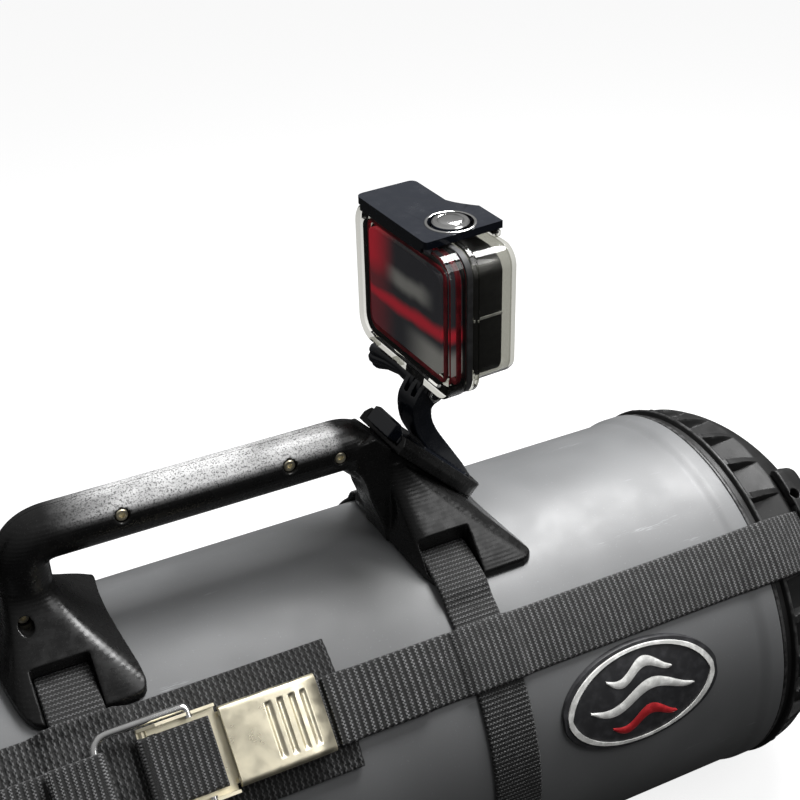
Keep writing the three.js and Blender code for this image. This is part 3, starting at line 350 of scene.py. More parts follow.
def creased(thing, angle=35):
    """Smooth shading, with a crease on each edge sharper than the angle."""
    shaped = bmesh.new()
    shaped.from_mesh(thing.data)
    limit = math.radians(angle)
    for face in shaped.faces:
        face.smooth = True
    for edge in shaped.edges:
        edge.smooth = len(edge.link_faces) == 2 and edge.calc_face_angle(0) < limit
    shaped.to_mesh(thing.data)
    shaped.free()
    return thing


def place(thing, name, body, slot, material, *nodes):
    thing.name = name
    thing.data.name = name
    thing.data.transform(INTO_ROW)
    thing.data.materials.clear()
    thing.data.materials.append(material)
    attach(thing, body)
    if nodes:
        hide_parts(*nodes)
    return thing


# -------------------------------------------------------------------- materials
class Nodes:
    """Short ways to add shader nodes to a tree."""

    def __init__(self, tree):
        self.tree = tree

    def fill(self, socket, value):
        """Wires another node's output into a socket, or sets its value."""
        if isinstance(value, bpy.types.NodeSocket):
            self.tree.links.new(value, socket)
        elif socket.type == "RGBA":
            socket.default_value = (*value, 1)
        else:
            socket.default_value = value

    def node(self, kind, **inputs):
        made = self.tree.nodes.new("ShaderNode" + kind)
        for key, value in inputs.items():
            self.fill(made.inputs[key], value)
        return made

    def range(self, value, low, high, to_low, to_high):
        ends = {"From Min": low, "From Max": high, "To Min": to_low, "To Max": to_high}
        return self.node("MapRange", Value=value, **ends)

    def math(self, operation, *values):
        made = self.node("Math")
        made.operation = operation
        for socket, value in zip(made.inputs, values):
            self.fill(socket, value)
        return made.outputs[0]

    def plus(self, one, other):
        return self.math("ADD", one, other)

    def minus(self, one, other):
        return self.math("SUBTRACT", one, other)

    def times(self, one, other):
        return self.math("MULTIPLY", one, other)

    def most(self, one, other):
        return self.math("MAXIMUM", one, other)


class Finish(Nodes):
    """A node material with a Principled shader to build on."""

    def __init__(self, name, color, roughness, metallic=0.0):
        self.material = bpy.data.materials.new(name)
        self.material.use_nodes = True
        super().__init__(self.material.node_tree)
        self.shader = self.tree.nodes["Principled BSDF"]
        self.output = self.tree.nodes["Material Output"]
        self.set("Base Color", color)
        self.set("Roughness", roughness)
        self.set("Metallic", metallic)

    def set(self, name, value):
        """Sets or wires one of the shader's inputs."""
        self.fill(self.shader.inputs[name], value)

    def position(self, scale=(1, 1, 1)):
        """The place in the hull's frame, in metres times the scale."""
        place = self.node("TexCoord").outputs["Object"]
        made = self.node("Mapping", Vector=place)
        made.inputs["Location"].default_value = (-HULL_ORIGIN.x * scale[0], 0, 0)
        made.inputs["Scale"].default_value = scale
        return made.outputs[0]

    def noise(self, size, detail=3.0, stretch=(1, 1, 1), rough=0.55):
        """Noise with features about size millimetres across, from 0 to 1."""
        look = {"Detail": detail, "Scale": 1 / (size * MM), "Roughness": rough}
        return self.node("TexNoise", Vector=self.position(stretch), **look).outputs["Fac"]

    def ramp(self, value, low, high, to_low=0.0, to_high=1.0):
        made = self.range(value, low, high, to_low, to_high)
        made.interpolation_type = "SMOOTHSTEP"
        return made.outputs["Result"]

    def patches(self, size, detail, low, high, to_low=0.0, to_high=1.0):
        """Noise turned into soft-edged patches."""
        return self.ramp(self.noise(size, detail), low, high, to_low, to_high)

    def mix(self, share, first, second):
        made = self.node("Mix")
        made.data_type = "RGBA"
        for index, value in ((0, share), (6, first), (7, second)):
            self.fill(made.inputs[index], value)
        return made.outputs[2]

    def bump(self, height, depth):
        """Relief of depth millimetres where height goes from 0 to 1."""
        made = self.node("Bump", Height=height, Distance=depth * MM, Strength=1)
        self.set("Normal", made.outputs[0])

    def worn_edges(self, low=0.52, high=0.6):
        return self.ramp(self.node("NewGeometry").outputs["Pointiness"], low, high)


def grey(value, warm=0.0):
    return (value * (1 + warm), value, value * (1 - warm))


def hull_plastic():
    f = Finish("hull_plastic", grey(0.14), 0.5)
    f.set("Specular IOR Level", 0.65)
    cloud = f.patches(60, 2, 0.35, 0.65)
    tint = f.mix(cloud, grey(0.135, -0.02), grey(0.155, -0.02))
    speck = f.patches(1.1, 2, 0.66, 0.74)
    tint = f.mix(f.times(speck, 0.3), tint, (0.24, 0.25, 0.26))
    scuff = f.ramp(f.noise(9, 4, (0.12, 1, 1), 0.7), 0.63, 0.72)
    fine = f.ramp(f.noise(0.9, 2, (0.1, 1, 1)), 0.5, 0.62)
    marks = f.times(scuff, fine)
    tint = f.mix(f.times(marks, 0.5), tint, (0.33, 0.34, 0.35))
    f.set("Base Color", tint)
    f.set("Roughness", f.patches(25, 3, 0.3, 0.7, 0.44, 0.54))
    f.bump(f.noise(0.6, 3), 0.03)
    return f.material


def moulded(name, value, roughness=0.5, wear=0.12):
    f = Finish(name, grey(value), roughness)
    f.set("Specular IOR Level", 0.35)
    worn = f.times(f.worn_edges(), f.patches(3, 3, 0.35, 0.6))
    dust = f.patches(1.4, 3, 0.64, 0.75, 0, 0.5)
    mask = f.most(worn, f.times(dust, 0.35))
    f.set("Base Color", f.mix(mask, grey(value), grey(wear + value)))
    f.set("Roughness", f.patches(12, 3, 0.3, 0.7, roughness - 0.1, roughness + 0.1))
    f.bump(f.noise(0.5, 3), 0.05)
    return f.material


def printed_plastic(sheen_and_wear=False):
    """Printed plastic with layer lines; the grip's top gets a pale sparkle, partly real wear and partly a
    painted highlight.
    """
    f = Finish("printed_plastic_worn_and_painted_sheen" if sheen_and_wear else "printed_plastic", grey(0.012), 0.35)
    f.set("Specular IOR Level", 0.32)
    layers = f.node("TexWave", Vector=f.position((0.15, 1, 1)))
    layers.bands_direction = "Z"
    layers.inputs["Scale"].default_value = 1 / (2 * math.pi * 0.28 * MM) / 3
    layers.inputs["Distortion"].default_value = 1.2
    height = f.plus(layers.outputs["Fac"], f.times(f.noise(0.7, 3), 0.8))
    f.bump(height, 0.028)
    f.set("Roughness", f.patches(5, 3, 0.3, 0.7, 0.2, 0.36))
    speck = f.patches(0.8, 2, 0.62, 0.72)
    tint = f.mix(f.times(speck, 0.2), grey(0.007), grey(0.07))
    worn = f.times(f.worn_edges(0.535, 0.57), f.patches(4, 3, 0.3, 0.6, 0.2, 1))
    tint = f.mix(worn, tint, grey(0.07))
    if sheen_and_wear:
        # Painted highlight and wear: a pale grainy band on the grip's upper near flank, masked by
        # upward-facing normals, by height and by place along the grip. It is partly real wear and partly a
        # painted highlight.
        up = f.node("SeparateXYZ", Vector=f.node("NewGeometry").outputs["Normal"]).outputs[2]
        spot = f.node("SeparateXYZ", Vector=f.position()).outputs
        high = f.ramp(spot[2], (GRIP_Z + 2) * MM, (GRIP_Z + 8) * MM)
        start = f.ramp(spot[0], -338 * MM, -300 * MM)
        end = f.ramp(spot[0], -196 * MM, -202 * MM)
        grain = f.patches(0.8, 3, 0.3, 0.56, 0.15, 1)
        patch = f.ramp(f.noise(14, 3, (0.4, 1, 1)), 0.25, 0.55, 0.5, 1)
        mask = f.times(f.times(high, f.times(start, end)), f.ramp(up, 0.1, 0.6))
        mask = f.times(f.times(mask, grain), patch)
        tint = f.mix(mask, tint, grey(0.6))
    f.set("Base Color", tint)
    return f.material


def gloss_plastic(name, color):
    roughness = 0.12
    f = Finish(name, color, roughness)
    f.set("Coat Weight", 0.5)
    f.set("Coat Roughness", 0.08)
    smear = f.patches(7, 4, 0.35, 0.7, roughness, roughness + 0.16)
    f.set("Roughness", smear)
    dust = f.patches(0.6, 2, 0.7, 0.78, 0, 0.25)
    f.set("Base Color", f.mix(dust, color, (0.2, 0.2, 0.21)))
    f.bump(f.noise(6, 2), 0.03)
    return f.material


def woven(name, pitch, bead, value, light):
    """Nylon webbing: rows across the strap, each a line of small beads; light is the grey of a painted
    highlight on the bead tops, and the gaps between them are painted darker as shade.
    """
    f = Finish(name, grey(value), 0.62)
    place = f.node("SeparateXYZ", Vector=f.node("UVMap").outputs[0]).outputs
    wobble = f.times(f.noise(2, 2), 0.5)
    row = f.times(place[0], 2 * math.pi / pitch)
    column = f.times(f.plus(place[1], wobble), 2 * math.pi / bead)
    phase = f.times(f.math("FLOOR", f.math("DIVIDE", place[0], pitch)), math.pi)
    beads = f.ramp(f.math("SINE", f.plus(column, phase)), -1, 0.8)
    rows = f.ramp(f.math("COSINE", row), -0.55, 0.9)
    thread = f.patches(0.25, 2, 0.3, 0.7)
    height = f.plus(f.times(rows, beads), f.times(thread, 0.25))
    f.bump(height, 0.42)
    # Painted highlight and shade: the bead tops are painted up to the light grey, and everything else is
    # painted down to about a third of the webbing's grey.
    top = f.times(f.times(rows, beads), f.patches(6, 3, 0.3, 0.7, 0.5, 1))
    f.set("Base Color", f.mix(top, grey(value * 0.35), grey(light, -0.01)))
    f.set("Sheen Weight", 0.08)
    f.set("Sheen Roughness", 0.4)
    return f.material


def steel(name, color, roughness, grain=0.25, stretch=(1, 0.05, 1)):
    f = Finish(name, color, roughness, 1.0)
    scratch = f.noise(grain, 4, stretch, 0.7)
    f.bump(scratch, 0.012)
    f.set("Roughness", f.patches(9, 3, 0.3, 0.7, roughness * 0.75, roughness * 1.35))
    dark = tuple(c * 0.88 for c in color)
    f.set("Base Color", f.mix(f.patches(14, 4, 0.3, 0.7), dark, color))
    return f.material


def rubber(name, color, roughness=0.6):
    f = Finish(name, color, roughness)
    f.bump(f.noise(0.5, 3), 0.04)
    pale = tuple(c * 1.7 + 0.01 for c in color)
    f.set("Base Color", f.mix(f.patches(5, 4, 0.4, 0.75), color, pale))
    return f.material


def clear_plastic(name):
    """Thick clear plastic that bends light at its edges and lets light through to
    what it holds, with a few faint smears."""
    f = Finish(name, (0.66, 0.65, 0.61), 0.03)
    f.set("Transmission Weight", 1.0)
    f.set("IOR", 1.46)
    f.set("Roughness", f.patches(8, 4, 0.45, 0.8, 0.015, 0.1))
    f.bump(f.noise(9, 2), 0.02)
    path = f.node("LightPath").outputs
    soft = f.most(path["Is Shadow Ray"], path["Is Diffuse Ray"])
    passing = f.most(soft, path["Is Glossy Ray"])
    # The see-through colour darkens where a wall is seen edge-on. This is partly the longer path through
    # the plastic and partly painted shade that gives the rims dark outlines.
    edge = f.node("LayerWeight", Blend=0.5).outputs["Facing"]
    through = f.mix(edge, (0.9, 0.9, 0.89), (0.55, 0.55, 0.51))
    see = f.node("BsdfTransparent", Color=through)
    final = f.node("MixShader", Fac=passing)
    f.fill(final.inputs[1], f.shader.outputs[0])
    f.fill(final.inputs[2], see.outputs[0])
    f.fill(f.output.inputs[0], final.outputs[0])
    return f.material


def screen_with_painted_reflections():
    """A dark camera screen with soft red and grey reflections painted across it, in its colour and as a
    faint glow.
    """
    f = Finish("screen_with_painted_reflections", (0.03, 0.03, 0.035), 0.12)
    local = f.node("SeparateXYZ", Vector=f.node("UVMap").outputs[0]).outputs
    across = local[0]
    up = local[1]
    # Painted reflections: a red band, a red upper corner and pale patches drawn across the screen's colour.
    soft = f.times(f.minus(f.noise(16, 2), 0.5), 4.0)
    rise = f.plus(f.plus(up, f.times(across, 0.05)), soft)
    from_band = f.math("ABSOLUTE", f.minus(rise, 31.0))
    band = f.ramp(from_band, 5.5, 0.5)
    left = f.ramp(f.plus(across, soft), 6, 30)
    high = f.ramp(rise, 34, 50)
    corner = f.times(left, f.most(high, 0.25))
    red = f.most(f.times(band, 0.9), corner)
    from_pale = f.math("ABSOLUTE", f.minus(rise, 45.0))
    inner = f.ramp(f.math("ABSOLUTE", f.plus(across, 4.0)), 24, 8)
    pale = f.times(f.ramp(from_pale, 7, 1), inner)
    low = f.times(f.ramp(up, 28, 20), f.ramp(across, 4, -26))
    pale = f.most(f.times(pale, 0.8), low)
    tint = f.mix(pale, (0.05, 0.05, 0.06), (0.42, 0.42, 0.41))
    shown = f.mix(red, tint, (0.85, 0.04, 0.07))
    f.set("Base Color", shown)
    # The painted reflections also glow faintly through emission, though the screen is no lamp.
    f.set("Emission Color", shown)
    f.set("Emission Strength", 0.35)
    return f.material


def wrapped(name, color, line):
    """Wrapped cells and boards inside the hull."""
    f = Finish(name, color, 0.45)
    stripe = f.ramp(f.noise(line, 1, (1, 0.1, 0.1)), 0.45, 0.55)
    dark = tuple(c * 0.6 for c in color)
    f.set("Base Color", f.mix(stripe, dark, color))
    f.bump(stripe, 0.2)
    return f.material


HULL = hull_plastic()
CAP = moulded("cap_plastic", 0.014, 0.42, 0.1)
PRINTED = printed_plastic()
PRINTED_WORN_AND_PAINTED_SHEEN = printed_plastic(sheen_and_wear=True)
GLOSS = gloss_plastic("gloss_black", (0.006, 0.008, 0.013))
# The last number of each webbing is the grey of its painted bead highlights.
WEB_WIDE = woven("webbing_wide", 3.0, 1.5, 0.012, 0.2)
WEB_END = woven("webbing_free_end", 3.4, 1.6, 0.012, 0.28)
WEB_HOOP = woven("webbing_hoop", 2.2, 1.7, 0.012, 0.17)
WEB_PAD = woven("webbing_pad", 2.6, 2.6, 0.008, 0.13)
SATIN = steel("satin_steel", (0.93, 0.86, 0.66), 0.36)
POLISHED = steel("polished_steel", (0.82, 0.82, 0.81), 0.14, 0.4, (1, 1, 1))
ALLOY = steel("machined_aluminium", (0.62, 0.63, 0.65), 0.35, 0.3, (0.1, 1, 1))
IRON = steel("iron", (0.16, 0.16, 0.17), 0.55, 0.8, (1, 1, 1))
RUBBER = rubber("black_rubber", (0.02, 0.02, 0.021))
BADGE_DARK = rubber("badge_rubber", (0.022, 0.022, 0.024), 0.45)
BADGE_PALE = rubber("badge_pale_rubber", (0.62, 0.62, 0.6), 0.5)
BADGE_RED = rubber("badge_red_rubber", (0.4, 0.015, 0.02), 0.45)
SEAL_RED = rubber("red_seal", (0.5, 0.02, 0.04), 0.35)
CLEAR = clear_plastic("clear_plastic")
CAMERA_GREY = moulded("camera_grey", 0.03, 0.4, 0.02)
SCREEN = screen_with_painted_reflections()
BATTERY = wrapped("battery_wrap", (0.7, 0.42, 0.02), 9)
BOARD = wrapped("board_green", (0.02, 0.12, 0.05), 3)
CABLE = rubber("cable_red", (0.4, 0.02, 0.02))


# ------------------------------------------------------------------- hull shells
DOME_X = 3.9
DOME_LENGTH = 75.5
DOME_R = 102.1
NOSE_FACE_X = span("nose_cap")[1][0]


def dome_radius(x):
    return DOME_R * np.sqrt(1 - np.maximum(0, (x - DOME_X) / DOME_LENGTH) ** 2)


def hull_tube():
    rear = span("hull_tube")[0][0]
    bell = [(-15 + 8 * t, HULL_R + (BELL_R - HULL_R) * t * t * (3 - 2 * t)) for t in np.linspace(0, 1, 9)]
    rim = rounded([(-1.2, BELL_R), (0, BELL_R), (0, BELL_R - 1.2)], [0, 1, 0])
    profile = [(rear, HULL_R - 0.6), (rear + 0.6, HULL_R), *bell, *rim, (0, BORE_R), (rear, BORE_R)]
    return creased(solid(turn(profile, 256)))


def pocket_angles():
    """Angles round the cap, close together where the pockets have their walls."""
    near = [0, 3, 6, 7.6, 8.3, 8.7, 9.0, 9.3, 9.6, 10.0, 10.5]
    offsets = sorted({s * v for v in near for s in (-1, 1)})
    pitch = 360 / RIBS
    reach = (POCKET_FLOOR_R + DOME_R) / 2
    centres = RIB_START + (np.arange(RIBS) + 0.5) * pitch
    return np.sort((centres[:, None] + np.degrees(np.array(offsets) / reach)).ravel() % 360)


def cap_radius(x, r, degrees):
    """The dome with a pocket between each two ribs, cut parallel to the axis."""
    if x < 7.5 or x > 40 or r < POCKET_FLOOR_R - 4:
        return np.full(len(degrees), float(r))
    pitch = 360 / RIBS
    off = (degrees - RIB_START) % pitch - pitch / 2
    side = np.abs(r * np.sin(np.radians(off)))
    inside = np.clip((POCKET_HALF + 0.5 - side) / 1.0, 0, 1)
    front = np.clip((x - 8.9) / 0.9, 0, 1)
    share = inside**2 * (3 - 2 * inside) * front**2 * (3 - 2 * front)
    floor = POCKET_FLOOR_R / np.cos(np.radians(off)) + 0.002 * (x - 22) ** 2
    return r - np.maximum(0, r - floor) * share


def nose_cap():
    dome = [(x, dome_radius(x)) for x in np.linspace(NOSE_FACE_X - 1.2, 36, 20)]
    ribs = [(x, dome_radius(x)) for x in np.linspace(35, 11, 32)]
    wall = [(x, DOME_R + 0.2) for x in (10.4, 9.9, 9.6, 9.3, 9.0, 8.6)]
    profile = [
        (NOSE_FACE_X, 0), (NOSE_FACE_X, dome_radius(NOSE_FACE_X) * 0.94), *dome, *ribs, *wall,
        (7.9, DOME_R + 0.3), (7.2, DOME_R - 0.1), (7, DOME_R - 0.9), (6.4, 99.6), (3.2, 99.6),
        (2.7, 100.8), (2.2, 101.2), (0.8, 101.2), (GAP, 100.8), (GAP, 93.6), (-30, 93.6),
        (-30, 88), (24, 88), (42, 76), (60, 52), (66.5, 20), (67, 0),
    ]
    return creased(solid(turn(profile, pocket_angles(), cap_radius)), 55)


def strap_anchor():
    """The lug on the cap: a curved block with a slot for the strap and two holes."""
    half = 23
    degrees = np.linspace(BUCKLE_ANGLE - half, BUCKLE_ANGLE + half, 41)
    ends = np.clip((half - np.abs(degrees - BUCKLE_ANGLE)) / 3, 0, 1)
    crown = 2.5 * (1 - np.sqrt(1 - (1 - ends) ** 2))
    rings = []
    for x, r in [(33.4, 99.4), (34, 100), (39, 99), (45, 97), (49, 93.5), (52, 88)]:
        low = hull_point(x, 80 if x < 50 else 78, degrees)
        high = hull_point(x, r - crown, degrees)
        rings.append(np.concatenate([high, low[::-1]]))
    lug = solid(loft(rings))
    dome = [(x, dome_radius(x) + GAP) for x in np.linspace(20, 71, 24)]
    inside = solid(turn([(20, 0), *dome, (71, 0)], 128))
    slot = solid(brick(30, 48, -17, 17, 93.2, 97.6), ON_BUCKLE)
    holes = []
    for side in (-13, 13):
        around = Matrix.Rotation(math.radians(BUCKLE_ANGLE + side), 4, "X")
        upright = around @ Matrix.Translation((36.8, 0, 0)) @ STANDING
        holes.append(solid(rod(2.9, 80, 110, 32), upright))
    return softened(cut(lug, inside, slot, *holes), 0.5, 5)


TAIL_CONE = [(-450.4, 101), (-457, 101), (-470, 95), (-500, 66), (-518, 47), (-523, 40)]


def tail_housing():
    inner = [(-523, 36.4), (-500, 36.4), (-494, 50), (-468, 83), (-455, 88), (-425, 88)]
    profile = [(-425, 93.6), (-450.4, 93.6), *TAIL_CONE, *inner]
    profile = rounded(profile, [0.5, 0.3, 0.8, 6, 12, 14, 8, 1.5, 0.8, 6, 6, 8, 6, 0.5], 7)
    return creased(solid(turn(profile, 192)))


def blade_ring(radius):
    chord = 50 - 0.22 * (radius - 20)
    pitch = math.radians(62 - 0.42 * (radius - 20))
    half = 1.1 + 2.4 * (1 - radius / PROP_R)
    a = np.arange(40) * 2 * math.pi / 40
    along = chord / 2 * np.cos(a)
    up = half * np.sin(a)
    x = PROP_X + along * math.cos(pitch) * 0.62 - up * math.sin(pitch)
    y = along * math.sin(pitch) + up * math.cos(pitch)
    return np.stack([x, y, np.sqrt(np.maximum(1, radius**2 - y * y))], axis=1)


def propeller():
    bore = SHAFT_R + GAP
    hub = [(PROP_X + 17, bore), (PROP_X + 17, 27), (PROP_X, 27), (PROP_X - 18, 21), (PROP_X - 18, bore)]
    body = solid(turn(rounded(hub, [0.4, 3, 8, 2, 0.4], 7), 96))
    for turned in (0, 120, 240):
        blade = solid(loft([blade_ring(r) for r in np.linspace(22, PROP_R, 16)]))
        join(body, moved(blade, Matrix.Rotation(math.radians(turned), 4, "X")))
    return softened(body, 0.7, 5)


def shroud():
    """The duct: a smooth ring with a thin trailing edge."""
    ring = [(-516, 96), (-522, SHROUD_R), (-560, SHROUD_R), (-578, 95.5), (-530, 92.8)]
    return creased(solid(turn(rounded(ring, [2, 8, 14, 0.6, 12], 8), 192)), 50)


def shroud_struts():
    """Four fins from the tail cone to the duct, shaped to the cone under them."""
    fins = None
    strut = [(-470, 95), (-470, 80), (-508, 50), (-517, 60), (-521, 90), (-521, 95), (-512, 98), (-480, 97)]
    for turned in (45, 135, 225, 315):
        fin = bevelled(solid(plate(strut, -2.6, 2.6)), 1.2, 30, 3)
        moved(fin, Matrix.Rotation(math.radians(turned), 4, "X"))
        fins = fin if fins is None else join(fins, fin)
    cone = [(-440, 0), (-440, 101 + GAP), *[(x, r + GAP) for x, r in TAIL_CONE[1:5]], (-530, 32), (-530, 0)]
    return creased(cut(fins, solid(turn(cone, 128))), 40)


def propeller_nut():
    profile = rounded([(-559.5, 0), (-559.5, 12), (-565, 11), (-571, 6), (-573, 0)], [0, 0.6, 2.5, 3, 0], 6)
    return creased(solid(turn(profile, 48)))


def place_hull():
    place(hull_tube(), "grey_hull_tube", "hull", "hull_grey", HULL, "hull_tube")
    place(nose_cap(), "ribbed_nose_cap", "hull", "cap_black", CAP, "nose_cap")
    place(strap_anchor(), "nose_anchor_lug", "hull", "cap_black", CAP, "nose_strap_anchor")
    place(tail_housing(), "tail_cone", "hull", "cap_black", CAP, "tail_housing")
    place(shroud(), "propeller_duct", "hull", "cap_black", CAP, "shroud")
    place(shroud_struts(), "duct_struts", "hull", "cap_black", CAP)
    place(propeller(), "propeller_blades", "propeller", "gloss_black", GLOSS, "propeller")
    place(propeller_nut(), "propeller_spinner", "propeller", "satin_steel", SATIN, "propeller_nut")


# ---------------------------------------------------------------------- webbing
def webbing(base, normal, along, across, pitch, relief):
    """A strap from a grid of points on its underside: rows of ribs on the outside,
    rounded selvedges, and a plain back. along and across are distances."""
    rows, columns = base.shape[:2]
    along = np.broadcast_to(np.asarray(along, float).reshape(rows, -1), (rows, columns))
    width = across[-1] - across[0]
    edge = np.clip((width / 2 - np.abs(across - across[0] - width / 2)) / 1.1, 0, 1)
    crown = np.sqrt(1 - (1 - edge) ** 2)
    rib = relief * (0.5 + 0.5 * np.cos(2 * math.pi * along / pitch)) ** 0.8
    lift = WEBBING / 2 + (WEBBING / 2 + rib) * crown
    outside = base + normal * lift[..., None]
    picks = np.linspace(0, columns - 1, 8).astype(int)[1:-1]
    inside = base[:, picks]
    ring = np.concatenate([outside, inside[:, ::-1]], axis=1)
    uv_out = np.stack(np.broadcast_arrays(along, across[None, :]), axis=-1)
    uv_in = uv_out[:, picks][:, ::-1]
    return ring, np.concatenate([uv_out, uv_in], axis=1)


def strap_piece(ring, uv, wrap=False):
    """A closed strap from its cross-sections, with its own (along, across) map."""
    points, faces = loft(ring, wrap)
    mesh = bpy.data.meshes.new("strap")
    mesh.from_pydata((points * MM).tolist(), [], faces)
    layer = mesh.uv_layers.new(name="strap")
    corner = np.zeros(len(mesh.loops), int)
    mesh.loops.foreach_get("vertex_index", corner)
    layer.data.foreach_set("uv", uv.reshape(-1, 2)[corner].astype(np.float32).ravel())
    faced_out(mesh)
    mesh.shade_smooth()
    return linked("strap", mesh)


def eased(values, reach):
    """Values with their steps rounded off over about reach samples."""
    kernel = np.hanning(2 * reach + 3)[1:-1]
    padded = np.pad(values, reach, mode="edge")
    return np.convolve(padded, kernel / kernel.sum(), mode="valid")


def lengthwise(path, low, high, pitch, relief, step=0.5, slant=0.0, columns=40):
    """A strap along the hull; path is [x, inner radius], or radius by angle."""
    path_x = [x for x, _ in path]
    x = np.arange(path_x[0], path_x[-1] + step, step)
    degrees = np.linspace(low, high, columns)
    radii = np.array([[r(d) if callable(r) else r for d in degrees] for _, r in path])
    grid = np.stack([eased(np.interp(x, path_x, radii[:, k]), 5) for k in range(columns)], axis=1)
    share = (x - x[0]) / (x[-1] - x[0])
    xs = x[:, None] - slant * share[:, None] * np.linspace(0, 1, columns)[None, :]
    base = hull_point(xs, grid, degrees[None, :])
    normal = hull_point(0, 1, degrees[None, :]) * np.ones((len(x), 1, 1))
    across = np.radians(degrees) * HULL_R
    return strap_piece(*webbing(base, normal, xs, across, pitch, relief))


SPLIT_GAP = 0.24
SLOT_IN = 12
SLOT_MOUTH = 16.8
SLOT_OUT = 20
STRAP_SEAT_R = 103


def hoop_radius(degrees):
    """The hoop strap's inside: under the foot, over its edge and down to the hull."""
    a = np.abs(degrees)
    base = HULL_R + 0.5
    rise = STRAP_SEAT_R + 0.4 - base
    up = np.clip((a - SLOT_IN) / (19 - SLOT_IN), 0, 1)
    down = np.clip((a - 29.8) / (35.5 - 29.8), 0, 1)
    up = up * up * (3 - 2 * up)
    down = down * down * (3 - 2 * down)
    return base + rise * np.where(a < 25, up, 1 - down)


def hoop(x):
    degrees = np.arange(0, 360, 0.36)
    signed = np.where(degrees > 180, degrees - 360, degrees)
    columns = np.linspace(-STRAP_WIDTH / 2 + 0.1, STRAP_WIDTH / 2 - 0.1, 30)
    base = hull_point(x + columns[None, :], hoop_radius(signed)[:, None], degrees[:, None])
    normal = hull_point(0, 1, degrees[:, None]) * np.ones((1, len(columns), 1))
    pitch = 360 / round(2 * math.pi * HULL_R / 2.2)
    along = degrees[:, None] / pitch * 2.2
    return strap_piece(*webbing(base, normal, along, columns, 2.2, 0.2), wrap=True)


def buckle_pad():
    over = lambda d: float(hoop_radius(d)) + WEBBING + GAP + 0.2
    low, high = span("buckle_pad")
    path = [(low[0], PAD_R), (-368, PAD_R), (-362, over), (-331, over), (-325, PAD_R), (high[0], PAD_R)]
    pad = lengthwise(path, 30.5, 65, 2.6, 0.35, 0.65, columns=90)
    # Wide basket weave: the outside lifts and dips in both directions.
    weave(pad, 2.6, 0.3)
    return pad


def weave(thing, pitch, relief):
    mesh = thing.data
    points = np.zeros(len(mesh.vertices) * 3)
    mesh.vertices.foreach_get("co", points)
    points = points.reshape(-1, 3) / MM
    radius = np.hypot(points[:, 1], points[:, 2])
    arc = np.arctan2(-points[:, 1], points[:, 2]) * HULL_R
    basket = np.sin(math.pi * points[:, 0] / pitch) * np.sin(math.pi * arc / pitch)
    outside = np.clip((radius - PAD_R - 1) / 0.5, 0, 1)
    wanted = radius + outside * (PAD - WEBBING + relief * basket)
    points[:, 1:] *= (wanted / radius)[:, None]
    mesh.vertices.foreach_set("co", (points * MM).astype(np.float32).ravel())
    mesh.update()


LONG_STRAP = [
    (-300, PAD_R + PAD + GAP), (-233, PAD_R + PAD + GAP), (-226, PAD_R), (-176, PAD_R),
    (-172.5, HOOP_TOP + GAP), (-144.5, HOOP_TOP + GAP), (-141, PAD_R), (-18, PAD_R),
    (-9, BELL_R + 0.6), (2, BELL_R + 0.7), (7, 103.1), (14, float(dome_radius(14)) + 0.7),
    (22, float(dome_radius(22)) + 0.8), (28, float(dome_radius(28)) + 1), (33, 95), (46, 94.9),
]


def folded(x_low, x_high, x_turn, z_mid, inner, half):
    """Webbing folded round a bar, from its lower end to its upper end."""
    lower = np.arange(x_low, x_turn, 0.5 if x_low < x_turn else -0.5)
    path = [(x, z_mid - inner) for x in lower]
    normals = [(0, -1)] * len(path)
    side = -1 if x_low > x_turn else 1
    for a in np.linspace(-math.pi / 2, math.pi / 2, 16):
        path.append((x_turn + side * inner * math.cos(a), z_mid + inner * math.sin(a)))
        normals.append((side * math.cos(a), math.sin(a)))
    upper = np.arange(x_turn, x_high, 0.5 if x_high > x_turn else -0.5)[1:]
    path += [(x, z_mid + inner) for x in upper]
    normals += [(0, 1)] * len(upper)
    path = np.array(path)
    normals = np.array(normals, float)
    y = np.linspace(-half, half, 36)
    base = np.zeros((len(path), len(y), 3))
    base[..., 0] = path[:, None, 0]
    base[..., 1] = y
    base[..., 2] = path[:, None, 1]
    normal = np.zeros_like(base)
    normal[..., 0] = normals[:, None, 0]
    normal[..., 2] = normals[:, None, 1]
    steps = np.linalg.norm(np.diff(path, axis=0), axis=1)
    along = np.concatenate([[0], np.cumsum(steps)])
    return moved(strap_piece(*webbing(base, normal, along, y, 3.0, 0.2)), ON_BUCKLE)


